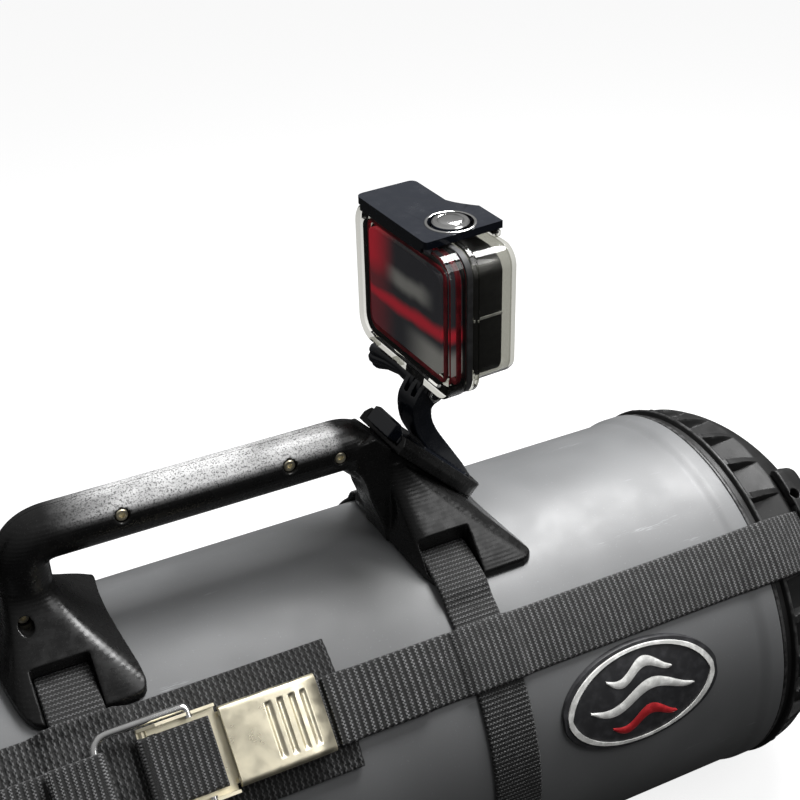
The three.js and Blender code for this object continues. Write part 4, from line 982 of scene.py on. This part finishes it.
def place_webbing():
    place(hoop(FRONT_STRAP_X), "front_hoop_webbing", "hull", "webbing_black", WEB_HOOP, "front_hoop_strap")
    place(hoop(REAR_STRAP_X), "rear_hoop_webbing", "hull", "webbing_black", WEB_HOOP, "rear_hoop_strap")
    place(buckle_pad(), "woven_buckle_pad", "hull", "webbing_black", WEB_PAD, "buckle_pad")
    strap = lengthwise(LONG_STRAP, STRAP_LOW, STRAP_HIGH, 3.0, 0.2)
    place(strap, "long_webbing", "hull", "webbing_black", WEB_WIDE, "long_strap")
    lift = WEBBING + 0.25
    doubled = [
        (-241, PAD_R + PAD + GAP + lift), (-233, PAD_R + PAD + GAP + lift),
        (-225, PAD_R + lift + 0.2), (-176, PAD_R + lift),
    ]
    end = lengthwise(doubled, STRAP_LOW, STRAP_HIGH, 3.4, 0.3, slant=19)
    place(end, "webbing_free_end", "hull", "webbing_black", WEB_END)
    front = folded(-319, -294.5, -323.5, 106.9, 2.0, 15.6)
    place(front, "front_fold_webbing", "hull", "webbing_black", WEB_WIDE, "front_strap_fold")
    rear = folded(-366, -366, -345, 109.6, 2.3, 15.8)
    place(rear, "rear_fold_webbing", "buckle_bail", "webbing_black", WEB_WIDE, "rear_strap_fold")
    on_pad = PAD_R + PAD + GAP + 0.3
    tail = [(-441, PAD_R), (-431, PAD_R), (-424, on_pad), (-366.6, on_pad)]
    run = lengthwise(tail, STRAP_LOW - 0.4, STRAP_HIGH - 0.6, 3.0, 0.2)
    place(run, "rear_webbing", "hull", "webbing_black", WEB_WIDE, "rear_strap")


# ----------------------------------------------------------------- lever buckle
LEVER = {"rear": -290.0, "front": -244.4, "half": 17.9, "top": 112.6, "wall": 1.4}


def lever_height(x, y):
    """The lever's outside: flat, arched down at the front, with pressed grooves."""
    front = np.clip((x + 258) / (LEVER["front"] + 258), 0, 1)
    z = LEVER["top"] + 0.5 * (1 - ((x + 268) / 24) ** 2) - 3.9 * front**2.4
    side = np.clip((np.abs(y) - LEVER["half"] + 2.6) / 2.6, 0, 1)
    z = z - 2.4 * (1 - np.sqrt(1 - side**2 * 0.999))
    for groove in (-252.5, -258, -263.5, -269):
        across = np.clip(1 - (np.abs(x - groove) / 1.5) ** 2, 0, 1)
        ends = np.clip((12.6 - np.abs(y)) / 1.6, 0, 1)
        z = z - 0.85 * across**0.8 * np.sqrt(ends)
    return z


def buckle_lever():
    between = np.arange(LEVER["rear"] + 0.35, LEVER["front"], 0.35)
    x = np.concatenate([[LEVER["rear"]], between, [LEVER["front"]]])
    flat = np.linspace(-LEVER["half"] + 2.8, LEVER["half"] - 2.8, 64)
    bend = LEVER["half"] - 2.6 + 2.6 * np.sin(np.linspace(0.1, math.pi / 2, 9))
    y = np.concatenate([-bend[::-1], flat, bend])
    grid_x, grid_y = np.meshgrid(x, y, indexing="ij")
    top = np.stack([grid_x, grid_y, lever_height(grid_x, grid_y)], axis=-1)
    floor = np.interp(x, [-290, -284, -252, LEVER["front"]], [107.2, 106.9, 107.4, 107.9])
    inner_half = LEVER["half"] - LEVER["wall"]
    rings = []
    for i in range(len(x)):
        foot = np.array([x[i], 0, min(floor[i], top[i, 0, 2] - 0.3)])
        ceiling = top[i, len(y) // 2, 2] - LEVER["wall"]
        ceiling = max(ceiling - 0.9, foot[2] + 0.05)
        right = foot + [0, LEVER["half"], 0]
        under = [
            right,
            foot + [0, inner_half, 0],
            [x[i], inner_half, ceiling],
            [x[i], -inner_half, ceiling],
            foot + [0, -inner_half, 0],
            foot + [0, -LEVER["half"], 0],
        ]
        rings.append(np.concatenate([top[i], np.array(under)]))
    return creased(solid(loft(rings), ON_BUCKLE), 40)


def buckle_bail():
    low_x, z = -345.0, 109.6
    x = -303.0
    path = bent_path(
        [
            ((x, 17.4, z), 0), ((x, 22.4, z), 2.6), ((low_x, 22.4, z), 8), ((low_x, -22.4, z), 8),
            ((x, -22.4, z), 2.6), ((x, -17.4, z), 0),
        ]
    )
    return creased(solid(sweep(path, 1.9, 28), ON_BUCKLE), 50)


def place_buckle():
    place(buckle_lever(), "pressed_buckle_lever", "buckle_lever", "satin_steel", SATIN, "buckle_lever")
    place(buckle_bail(), "wire_bail", "buckle_bail", "bright_steel", POLISHED, "buckle_bail")


# ------------------------------------------------------------------ badge
def badge_ring(share, inset, height):
    """A row across the badge at a share of its length."""
    x = -131 + inset + (89 - 2 * inset) * share
    half = (15.5 * math.sqrt(1 - (2 * share - 1) ** 2 * 0.975)) - inset / 1.75
    degrees = np.linspace(74.5 - half, 74.5 + half, 41)
    edge = np.clip(np.minimum(np.arange(41), np.arange(41)[::-1]) / 1.0, 0, 1)
    high = hull_point(x, HULL_R + GAP + 0.2 + (height - 0.2) * edge, degrees)
    low = hull_point(x, HULL_R + GAP, degrees[::-1])
    return np.concatenate([high, low])


def badge_plate(inset, height):
    shares = 0.5 - 0.5 * np.cos(np.linspace(0, math.pi, 61))
    return solid(loft([badge_ring(s, inset, height) for s in shares]))


def wave_line(centre, swing, start, end, width, height):
    """A raised wavy line on the badge."""
    rings = []
    for t in np.linspace(0, 1, 90):
        x = start + (end - start) * t
        taper = math.sin(math.pi * min(1, max(0.02, t))) ** 0.5
        middle = centre + swing * math.sin(t * 2.5 * math.pi)
        degrees = np.linspace(middle - width * taper / 2, middle + width * taper / 2, 7)
        crown = height * np.sqrt(np.clip(1 - np.linspace(-1, 1, 7) ** 2 * 0.9, 0, 1))
        high = hull_point(x, HULL_R + 2.2 + crown, degrees)
        low = hull_point(x, HULL_R + 2.2, degrees[::-1])
        rings.append(np.concatenate([high, low]))
    return solid(loft(rings))


def place_badge():
    base = creased(badge_plate(0, 1.9), 50)
    place(base, "badge_base", "hull", "badge_rubber", BADGE_DARK, "hull_badge")
    rim = cut(badge_plate(2.0, 2.6), badge_plate(4.2, 8))
    place(creased(rim, 50), "badge_rim", "hull", "badge_rubber", BADGE_PALE)
    lines = [(67.5, 2.0, "badge_wave_top", BADGE_PALE), (74.5, 2.2, "badge_wave_middle", BADGE_PALE)]
    lines.append((81.5, 1.8, "badge_wave_low", BADGE_RED))
    for centre, swing, name, material in lines:
        reach = 30 - abs(centre - 74.5) * 1.6
        line = creased(wave_line(centre, swing, -86.5 - reach, -86.5 + reach, 3.2, 0.6), 50)
        place(line, name, "hull", "badge_rubber", material)


# ----------------------------------------------------------------- carry handle
def foot_ring(centre, half_x, half_y, power, height):
    a = (np.arange(96) + 0.5) * 2 * math.pi / 96
    c = np.cos(a)
    s = np.sin(a)
    grow = (np.abs(c) ** power + np.abs(s) ** power) ** (-1 / power)
    return np.array([height(x, y) for x, y in zip(centre + half_x * grow * c, half_y * grow * s)])


def saddle_foot(post, foot):
    """A foot that flares from a post to a curved rectangle on the hull."""
    edge_r = 104.2
    rings = []
    for t in np.linspace(0, 1, 16):
        centre = post["x"] + (foot["x"] - post["x"]) * t**1.2
        half_x = post["half_x"] + (foot["half_x"] - post["half_x"]) * t**2
        half_y = post["half_y"] + (foot["half_y"] - post["half_y"]) * t**1.9
        power = 2.2 + (9 - 2.2) * t**1.2

        def height(x, y):
            rim = math.sqrt(max(1, edge_r**2 - y * y))
            bow = foot["bow"] * t * (y / foot["half_y"]) ** 2
            return (x + bow, y, post["z"] + (rim - post["z"]) * t)

        rings.append(foot_ring(centre, half_x, half_y, power, height))
    skirt = rings[-1].copy()
    skirt[:, 2] = 60
    return solid(loft([*rings, skirt]))


def strap_wedge(x, r0, r1, a0, a1):
    degrees = np.linspace(a0, a1, 12)
    outer = hull_point(0, r1, -degrees)[:, 1:]
    inner = hull_point(0, r0, -degrees[::-1])[:, 1:]
    half = STRAP_WIDTH / 2 + 0.6
    return solid(plate(np.concatenate([outer, inner]), x - half, x + half, "yz"))


def strap_relief(x):
    """The room a hoop strap needs at a foot: under it, in its slots, over its edge."""
    cuts = [strap_wedge(x, 95, HOOP_TOP + 0.5, -SLOT_OUT, SLOT_OUT)]
    for side in (-1, 1):
        slot = sorted((side * SLOT_IN, side * SLOT_OUT))
        mouth = sorted((side * SLOT_MOUTH, side * SLOT_OUT))
        outer = sorted((side * (SLOT_OUT - 0.5), side * 33))
        cuts.append(strap_wedge(x, 95, STRAP_SEAT_R + 2.6, *slot))
        cuts.append(strap_wedge(x, 100, 118, *mouth))
        cuts.append(strap_wedge(x, STRAP_SEAT_R, 118, *outer))
    return cuts


def slope_z(x):
    return (SLOPE_OFFSET - x * math.sin(SLOPE)) / math.cos(SLOPE)


SCREWS = {
    "grip_screw_rear": (-304.2, 156.5, 11.9),
    "grip_screw_middle": (-224.3, 156.5, 11.9),
    "grip_screw_front": (-199, 153, 12.3),
    "post_screw": (-355, 120, 12),
}


def across_rod(radius, y0, y1, x, z, segments=32):
    """A rod along Y."""
    return solid(rod(radius, y0, y1, segments), Matrix.Translation((x, 0, z)) @ LYING)


def handle_body():
    rear_bend = bent_path([((POST_X, 0, 104), 0), ((POST_X, 0, GRIP_Z), 16), ((-215, 0, GRIP_Z), 0)], 24)
    tube = solid(sweep(rear_bend, GRIP_R, 64))
    under = 10.5
    low = Vector((-122.5, 0, slope_z(-122.5))) - under * SLOPE_NORMAL
    along = Vector((-math.cos(SLOPE), 0, math.sin(SLOPE)))
    corner = low + along * ((GRIP_Z - low.z) / along.z)
    front_bend = bent_path([((-222, 0, GRIP_Z), 0), (corner, 15), (low, 0)], 24)
    bend = solid(sweep(front_bend, GRIP_R - 0.02, 64))
    rear = saddle_foot(
        {"x": POST_X, "z": 131, "half_x": 12.4, "half_y": 12.4},
        {"x": -345, "half_x": 28, "half_y": 50.7, "bow": 6.5},
    )
    front = saddle_foot(
        {"x": -171, "z": 142, "half_x": 9, "half_y": 13.4},
        {"x": -151, "half_x": 28, "half_y": 49.5, "bow": 8},
    )
    wedge = outline(
        ("to", -192, GRIP_Z - GRIP_R + 1),
        ("via", -188, GRIP_Z - GRIP_R, -185.6, 125),
        ("to", -180, 108),
        ("to", -178, 80),
        ("to", -122.5, 80),
        ("to", -122.5, slope_z(-122.5)),
        ("to", -181, slope_z(-181)),
        ("to", -189, 157),
    )
    post = bevelled(solid(plate(wedge, -12.6, 12.6)), 2.4, 25, 4)
    on_slope = Matrix.Translation((-181, 0, slope_z(-181))) @ Matrix.Rotation(SLOPE, 4, "Y")
    slab = solid(brick(-30, 140, -60, 60, 0, 60), on_slope)
    body = join(cut(join(front, post, bend), slab), tube, rear)
    hull = solid(rod(HULL_R + GAP + 0.1, -400, -80, 192))
    cut(body, hull, *strap_relief(FRONT_STRAP_X), *strap_relief(REAR_STRAP_X))
    for x, z, face in SCREWS.values():
        cut(body, across_rod(3.3, -30, -face + 4.1, x, z), across_rod(1.9, -face, 8.4, x, z))
    return body


def place_handle():
    """The printed handle, split down its middle into two screwed halves."""
    whole = softened(handle_body(), 0.6, 4)
    for side, name in ((-1, "handle_near_half"), (1, "handle_far_half")):
        half = linked("half", whole.data.copy())
        other = sorted((side * SPLIT_GAP / 2, -side * 90))
        cut(half, solid(brick(-420, -80, *other, 60, 200)))
        bevelled(half, 0.4, 60, 2)
        place(half, "printed_" + name, "hull", "printed_black", PRINTED_WORN_AND_PAINTED_SHEEN, name)
    bpy.data.objects.remove(whole)


def screw_radius(x, r, degrees):
    """A hexagon socket: its walls have six flats."""
    if r < 1.45:
        return r / np.cos(np.radians((degrees % 60) - 30)) * 0.96
    return np.full(len(degrees), float(r))


def place_screws():
    for name, (x, z, face) in SCREWS.items():
        head = -face + 0.9
        profile = [
            (head + 1.7, 0), (head + 1.7, 1.3), (head, 1.3), (head - 0.05, 1.6), (head, 2.5),
            (head + 0.4, 2.9), (head + 3, 2.9), (head + 3, 1.5), (8, 1.5), (8, 0),
        ]
        screw = solid(turn(profile, 48, screw_radius), Matrix.Translation((x, 0, z)) @ LYING)
        place(creased(screw, 30), name + "_head", "hull", "satin_steel", SATIN, name)


# ----------------------------------------------------------- camera mount pieces
def cad_copy(node):
    """A new object with a CAD node's shape, as the start of a finer piece."""
    thing = linked("copy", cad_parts[node].data.copy())
    thing.data.transform(OUT_OF_ROW)
    thing.data.materials.clear()
    return thing


def thumb_screw():
    """A tapered knob with a fluted head, on the pivot's axis."""
    profile = [(-10, 0), (-10, 2.4), (8.2, 2.4), (8.2, 5.2), (20, 4.4), (30, 6.3), (36.5, 8.9), (37.5, 9.2)]
    profile += [(39.6, 9.2), (40.6, 8.8), (41, 7.8), (41, 0)]

    def fluted(x, r, degrees):
        if x < 22:
            return np.full(len(degrees), float(r))
        depth = 0.9 * min(1, (x - 22) / 8)
        return r - depth * (0.5 + 0.5 * np.cos(np.radians(degrees * 9))) ** 3

    on_pivot = ON_CAMERA @ Matrix.Translation((PIVOT[0], 0, PIVOT[1])) @ LYING
    return creased(solid(turn(profile, 180, fluted), on_pivot), 40)


def place_mount():
    for node, body, slot, material, voxel, rounds in [
        ("camera_arm", "camera_arm", "gloss_black", GLOSS, 0.35, 10),
        ("camera_base", "hull", "printed_black", PRINTED, 0.35, 6),
        ("control_grip", "hull", "printed_black", PRINTED, 0.7, 14),
        ("trigger", "trigger", "printed_black", PRINTED, 0.4, 8),
        ("tow_ring_bracket", "hull", "cap_black", CAP, 0.4, 4),
    ]:
        thing = softened(cad_copy(node), voxel, rounds)
        place(thing, node + "_moulded", body, slot, material, node)
    place(thumb_screw(), "fluted_thumb_screw", "thumb_screw", "printed_black", GLOSS, "thumb_screw")


# ------------------------------------------------------------------ dive housing
HALF_W = CASE_W / 2
BUTTON = (-1.0, -14.0)
LATCH_PIN = (17.0, 71.2)
DOOR_PIN = (-14.0, -2.2)
LENS = (14.0, 46.0)
ON_BUTTON = ON_CAMERA @ Matrix.Translation((*BUTTON, 0)) @ STANDING


def case_ring(x, inset, radius):
    """A rounded rectangle across the housing, with a fixed number of points."""
    half = HALF_W - inset
    low = inset
    high = CASE_H - inset
    points = []
    corners = [(half, high, 0), (-half, high, 90), (-half, low, 180), (half, low, 270)]
    for y, z, start in corners:
        cy = y - math.copysign(radius, y)
        cz = z - radius if z == high else z + radius
        for a in np.radians(np.linspace(start, start + 90, 14)):
            points.append((x, cy + radius * math.cos(a), cz + radius * math.sin(a)))
    return points


def shut_case(outer, inner):
    """A skin from outer to inner steps and back, with a wall at the last of the outer steps
    and one at the first of the inner steps in place of the strip between them."""
    rings = [case_ring(*step) for step in outer + inner]
    points, faces = loft(rings, wrap=True)
    size = len(rings[0])
    start, middle, end = ((len(outer) + k) * size for k in (-1, 0, 1))
    kept = [face for face in faces if min(face) < start or max(face) >= end]
    kept.append(list(range(start, middle)))
    kept.append(list(range(middle, end))[::-1])
    return solid((points, kept), ON_CAMERA)


def housing_shell():
    """The clear front body: a flange, stepped walls and a closed front."""
    inset = 3.5
    wall = 2.6
    outer = [
        (FLANGE_BACK, 0.5, 11), (FLANGE_BACK + 0.5, 0, 11.5), (FLANGE_FRONT - 0.5, 0, 11.5),
        (FLANGE_FRONT, 0.5, 11), (FLANGE_FRONT, inset, 9.5), (CASE_FRONT - 3, inset, 9.5),
        (CASE_FRONT - 1, inset + 0.7, 8.8), (CASE_FRONT, inset + 2.6, 7),
    ]
    inner = [
        (CASE_FRONT - wall, inset + wall + 1.2, 6), (CASE_FRONT - wall - 1.2, inset + wall, 7),
        (FLANGE_BACK, inset + wall, 7),
    ]
    return creased(shut_case(outer, inner), 20)


def housing_door():
    """The clear rear door, recessed behind its window, with its top edge notched."""
    outer = [
        (DOOR_FRONT, 0.6, 11), (DOOR_FRONT - 0.6, 0, 11.5), (CASE_REAR + 0.8, 0, 11.5),
        (CASE_REAR, 0.8, 10.8), (CASE_REAR, 5.6, 7), (CASE_REAR + 0.8, 6.4, 6.6),
    ]
    inner = [(CASE_REAR + 3, 6.6, 6.4), (DOOR_FRONT, 6.4, 6.5)]
    notch = solid(brick(CASE_REAR - 1, DOOR_FRONT + 1, -27, 37, 70, 80), ON_CAMERA)
    return creased(cut(shut_case(outer, inner), notch), 20)


def ring_seal(x0, x1, inset0, inset1, radius):
    """A rubber ring with softened edges, between two steps and two insets."""
    soft = 0.3
    profile = [
        (x0 + soft, inset0, radius), (x1 - soft, inset0, radius),
        (x1, inset0 + soft, radius - soft), (x1, inset1 - soft, radius - 3),
        (x1 - soft, inset1, radius - 3.3), (x0 + soft, inset1, radius - 3.3),
        (x0, inset1 - soft, radius - 3), (x0, inset0 + soft, radius - soft),
    ]
    return creased(solid(loft([case_ring(*step) for step in profile], wrap=True), ON_CAMERA), 40)


def knuckles():
    """Two fingers under the housing that straddle the arm's tilt pivot."""
    shape = outline(
        ("to", -6.1, 0.4), ("to", 10, 3.4), ("via", 5.5, -4, -0.6, -17.4), ("via", -4, -21.5, -9, -20.2),
        ("via", -14.6, -18, -13.8, -12.0), ("via", -13, -8, -8.5, -4.6),
    )
    fingers = None
    for y in (-4.6, 1.9):
        finger = bevelled(solid(plate(shape, y, y + 2.7), ON_CAMERA), 0.5, 30)
        cut(finger, across_in_camera(2.8, -12, 12, *PIVOT))
        fingers = finger if fingers is None else join(fingers, finger)
    return creased(fingers, 35)


def across_in_camera(radius, y0, y1, x, z, segments=32):
    return moved(across_rod(radius, y0, y1, x, z, segments), ON_CAMERA)


def ears(pin, ys, width, radius, web, bore):
    """Small rounded ears that hold a hinge pin; web is (x low, x high, z low, z high)."""
    made = []
    for y in ys:
        ear = join(
            across_in_camera(radius, y, y + width, *pin),
            solid(brick(web[0], web[1], y, y + width, web[2], web[3]), ON_CAMERA),
        )
        made.append(cut(ear, across_in_camera(bore, -60, 60, *pin)))
    return bevelled(join(made[0], *made[1:]), 0.25, 40, 2)


def latch_plate():
    """The plate over the housing's top, with a round hole for the button."""
    shape = outline(
        ("to", -21.6, 32), ("via", -21.6, 36, -17, 36), ("to", 6, 36), ("via", 10, 36, 10, 32),
        ("to", 10, 8), ("via", 12, 2, 19.4, -6), ("to", 19.4, -25), ("to", -20, -26),
        ("via", -21.6, -26, -21.6, -23),
    )
    flat = solid(plate(shape, 73, 76.6, "xy"), ON_CAMERA)
    cut(flat, solid(rod(10.6, 60, 90, 96), ON_BUTTON))
    join(flat, solid(brick(-21.6, -20.1, -22, 32, 70.3, 73.4), ON_CAMERA))
    x, z = LATCH_PIN
    join(flat, solid(brick(x - 1.5, x + 1.5, -22.2, -2.2, z, 73.4), ON_CAMERA))
    join(flat, across_in_camera(1.9, -22.2, -2.2, x, z))
    cut(flat, across_in_camera(1.1, -30, 5, x, z))
    return bevelled(flat, 0.45, 40, 3)


def button_ring():
    """The bright lip round the button's hole in the latch plate."""
    lip = [(76.5, 10.7), (77.0, 10.5), (77.2, 10.9), (77.2, 11.5), (76.9, 11.8), (76.5, 11.8)]
    return creased(solid(turn(lip, 96), ON_BUTTON), 50)


def shutter_button():
    cap = [(64.6, 0), (64.6, 2.6), (74, 2.6), (74, 8.3), (74.4, 8.6), (77.2, 8.6), (77.8, 8.0), (77.9, 6.6)]
    cap += [(77.6, 6.2), (78.0, 6.0), (78.5, 5.2), (78.7, 3), (78.75, 0)]
    return creased(solid(turn(cap, 96), ON_BUTTON), 40)


def camera_body():
    """The camera: a rounded block with eased front and back edges."""
    profile = [(-9.0, 1.5, 4.6), (-8.7, 0.4, 5.7), (-7.8, 0, 6)]
    profile += [(11.2, 0, 6), (12.0, 0.5, 5.6), (12.2, 1.6, 4.6)]
    low, high = 8.6, 62.6
    rings = []
    for x, inset, radius in profile:
        ring = np.array(case_ring(x, 0, radius))
        ring[:, 1] *= (34.5 - inset) / HALF_W
        ring[:, 2] = low + inset + ring[:, 2] / CASE_H * (high - low - 2 * inset)
        rings.append(ring)
    return creased(solid(loft(rings), ON_CAMERA), 35)


SCREEN_BACK = -15.9
SCREEN_HALF = 32.0
SCREEN_LOW = 10.8
SCREEN_HIGH = 62.0


def screen():
    """The camera's back with its screen, close behind the door's window; its map
    is (across, up) in millimetres."""
    rings = []
    tall = SCREEN_HIGH - SCREEN_LOW
    for x, inset in ((-9.15, 0), (SCREEN_BACK + 0.6, 0), (SCREEN_BACK, 0.6)):
        ring = np.array(case_ring(x, 0, 6))
        ring[:, 1] *= (SCREEN_HALF - inset) / HALF_W
        ring[:, 2] = SCREEN_LOW + inset + ring[:, 2] / CASE_H * (tall - 2 * inset)
        rings.append(ring)
    thing = solid(loft(rings))
    layer = thing.data.uv_layers.new(name="screen")
    for loop in thing.data.loops:
        spot = thing.data.vertices[loop.vertex_index].co / MM
        layer.data[loop.index].uv = (spot.y, spot.z)
    return creased(moved(thing, ON_CAMERA), 20)


def side_bar():
    """The bright edge of the camera's battery door, seen through the side."""
    return bevelled(solid(brick(-2, 12, -35.1, -34.6, 37, 38.4), ON_CAMERA), 0.15, 30)


def lens():
    profile = [(12.4, 0), (12.4, 15), (17.8, 15), (18.5, 14.4), (20.6, 12.6), (21.2, 11.6)]
    profile += [(21.0, 10.8), (18, 8), (17, 6), (17.6, 3), (17.8, 0)]
    forward = ON_CAMERA @ Matrix.Translation((0, *LENS))
    return creased(solid(turn(profile, 96), forward), 30)


def place_housing():
    body = "housing"
    clear = "clear_plastic"
    place(housing_shell(), "clear_shell", body, clear, CLEAR, "housing_shell")
    place(knuckles(), "housing_knuckles", body, clear, GLOSS)
    latch_web = (LATCH_PIN[0] - 1.5, LATCH_PIN[0] + 1.5, CASE_H - 3.6, LATCH_PIN[1])
    latch_ears = ears(LATCH_PIN, (-24.8, -1.8), 2.2, 1.65, latch_web, 1.1)
    place(latch_ears, "latch_ears", body, clear, CLEAR)
    door_web = (DOOR_PIN[0], FLANGE_FRONT, DOOR_PIN[1] - 1.8, DOOR_PIN[1] + 1.8)
    door_ears = ears(DOOR_PIN, (8.6, 31), 4, 1.9, door_web, 1.25)
    place(door_ears, "door_ears", body, clear, CLEAR)
    gasket = ring_seal(DOOR_FRONT + GAP, FLANGE_BACK - GAP, 0.4, 4.6, 11)
    place(gasket, "black_gasket", body, "rubber_black", RUBBER, "housing_gasket")
    place(housing_door(), "clear_door", "housing_door", clear, CLEAR, "housing_door")
    seal = ring_seal(DOOR_FRONT - 2.6, DOOR_FRONT - 0.3, 6.9, 9.2, 6)
    place(seal, "red_door_seal", "housing_door", "seal_red", SEAL_RED, "door_seal")
    place(latch_plate(), "latch_plate", "housing_latch", "gloss_black", GLOSS, "housing_latch")
    place(button_ring(), "button_ring", "housing_latch", "bright_steel", POLISHED)
    place(shutter_button(), "silver_button", "shutter_button", "bright_steel", POLISHED, "shutter_button")
    place(camera_body(), "camera_block", body, "camera_grey", CAMERA_GREY, "action_camera")
    place(screen(), "camera_screen", body, "camera_grey", SCREEN)
    place(side_bar(), "camera_door_edge", body, "camera_grey", BADGE_PALE)
    place(lens(), "camera_lens_ring", body, "gloss_black", GLOSS, "camera_lens")


# -------------------------------------------------------------- tow ring, the rest
def tow_ring():
    low, high = span("tow_ring")
    x = high[0] - 2.2
    z = (low[2] + high[2]) / 2
    bar = solid(sweep([(x, -15, z), (x, 0, z), (x, 15, z)], 2.2, 24))
    loop = bent_path(
        [
            ((x, -14.5, z), 0), ((x - 16, -16, z), 6), ((x - 34, 0, z), 12), ((x - 16, 16, z), 6),
            ((x, 14.5, z), 0),
        ]
    )
    return softened(join(bar, solid(sweep(loop, 2.2, 24))), 0.3, 3)


PLAIN = [
    (RUBBER, ["nose_seal_ring", "tail_seal_ring", "shaft_seal"]),
    (ALLOY, ["motor_housing", "motor_end_cap", "battery_tray"]),
    (POLISHED, ["front_bearing", "rear_bearing", "drive_shaft", "lever_pin", "trigger_pin"]),
    (POLISHED, ["pivot_nut", "latch_pin", "door_pin"]),
    (IRON, ["motor_stator", "motor_rotor", "trim_weight"]),
    (BATTERY, ["battery_pack_rear", "battery_pack_front"]), (BOARD, ["motor_controller"]),
    (CABLE, ["power_cable"]), (SATIN, ["buckle_frame"]),
]


def dress_cad():
    """CAD nodes whose shape is right keep it; their edges are broken and they get a finish."""
    for material, nodes in PLAIN:
        for node in nodes:
            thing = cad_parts[node]
            thing.data.materials.clear()
            thing.data.materials.append(material)
            thing.modifiers.new("weld", "WELD").merge_threshold = 1e-6
            bevel = thing.modifiers.new("bevel", "BEVEL")
            bevel.width = 0.25 * MM
            bevel.segments = 2
            bevel.limit_method = "ANGLE"
            bevel.angle_limit = math.radians(40)


# ------------------------------------------------------------------------ studio
def floor():
    """A pale floor that takes a soft shadow but throws no light back up."""
    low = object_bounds()[0][2] - 0.5 * MM
    reach = 30.0
    mesh = bpy.data.meshes.new("floor")
    corners = [(-reach, -reach, low), (reach, -reach, low), (reach, reach, low), (-reach, reach, low)]
    mesh.from_pydata(corners, [], [(0, 1, 2, 3)])
    thing = linked("floor", mesh)
    paper = Finish("floor_paper", (0.3, 0.3, 0.3), 0.9)
    paper.set("Emission Color", (1, 1, 1))
    paper.set("Emission Strength", 0.84)
    paper.bump(paper.noise(3, 3), 0.02)
    mesh.materials.append(paper.material)
    thing.visible_diffuse = False
    thing.visible_glossy = False
    thing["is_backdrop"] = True


def surroundings():
    """White where the camera sees it; a dim room, lighter overhead, everywhere else."""
    world = bpy.data.worlds.new("studio")
    world.use_nodes = True
    n = Nodes(world.node_tree)
    toward = n.node("TexCoord").outputs["Generated"]
    up = n.node("SeparateXYZ", Vector=toward).outputs[2]
    light = n.range(up, -0.2, 1.0, 0.03, 0.38).outputs["Result"]
    room = n.node("Background", Color=(1, 1, 1), Strength=light)
    white = n.node("Background", Color=(1, 1, 1), Strength=1.0)
    seen = n.node("MixShader", Fac=n.node("LightPath").outputs["Is Camera Ray"])
    n.fill(seen.inputs[1], room.outputs[0])
    n.fill(seen.inputs[2], white.outputs[0])
    n.fill(n.tree.nodes["World Output"].inputs[0], seen.outputs[0])
    bpy.context.scene.world = world


def softbox(name, spot, size, radiance):
    """A square light of a given brightness, looking at the middle of the hull."""
    light = bpy.data.lights.new(name, "AREA")
    light.shape = "SQUARE"
    light.size = size
    light.energy = radiance * math.pi * size * size
    lamp = linked(name, light)
    lamp.location = HULL_ORIGIN + Vector(spot)
    aim = HULL_ORIGIN + Vector((-0.15, 0, 0.05)) - lamp.location
    lamp.rotation_euler = aim.to_track_quat("-Z", "Y").to_euler()


def studio():
    floor()
    surroundings()
    softbox("overhead", (0.2, 0.06, 0.84), 0.42, 25.0)
    softbox("near_side", (0.36, -0.72, 1.0), 0.6, 3.9)
    bpy.context.scene.view_settings.view_transform = "Standard"


def camera():
    """The view of the near side from behind and above, towards the nose."""
    azimuth = math.radians(-24.11)
    elevation = math.radians(28.06)
    roll = math.radians(-3.99)
    level = math.cos(elevation)
    back = Vector((math.sin(azimuth) * level, -math.cos(azimuth) * level, math.sin(elevation)))
    right = Vector((math.cos(azimuth), math.sin(azimuth), 0))
    up = back.cross(right)
    turned_right = right * math.cos(roll) + up * math.sin(roll)
    turned_up = up * math.cos(roll) - right * math.sin(roll)
    axes = Matrix((turned_right, turned_up, back)).transposed().to_4x4()
    eye = linked("camera", bpy.data.cameras.new("camera"))
    eye.data.lens = 62.56
    eye.data.sensor_width = 36
    eye.matrix_world = INTO_ROW @ Matrix.Translation((-0.4022, -0.5379, 0.4821)) @ axes
    bpy.context.scene.camera = eye


place_hull()
place_webbing()
place_buckle()
place_badge()
place_handle()
place_screws()
place_mount()
place_housing()
place(tow_ring(), "round_tow_ring", "tow_ring", "bright_steel", POLISHED, "tow_ring")
dress_cad()
studio()
camera()
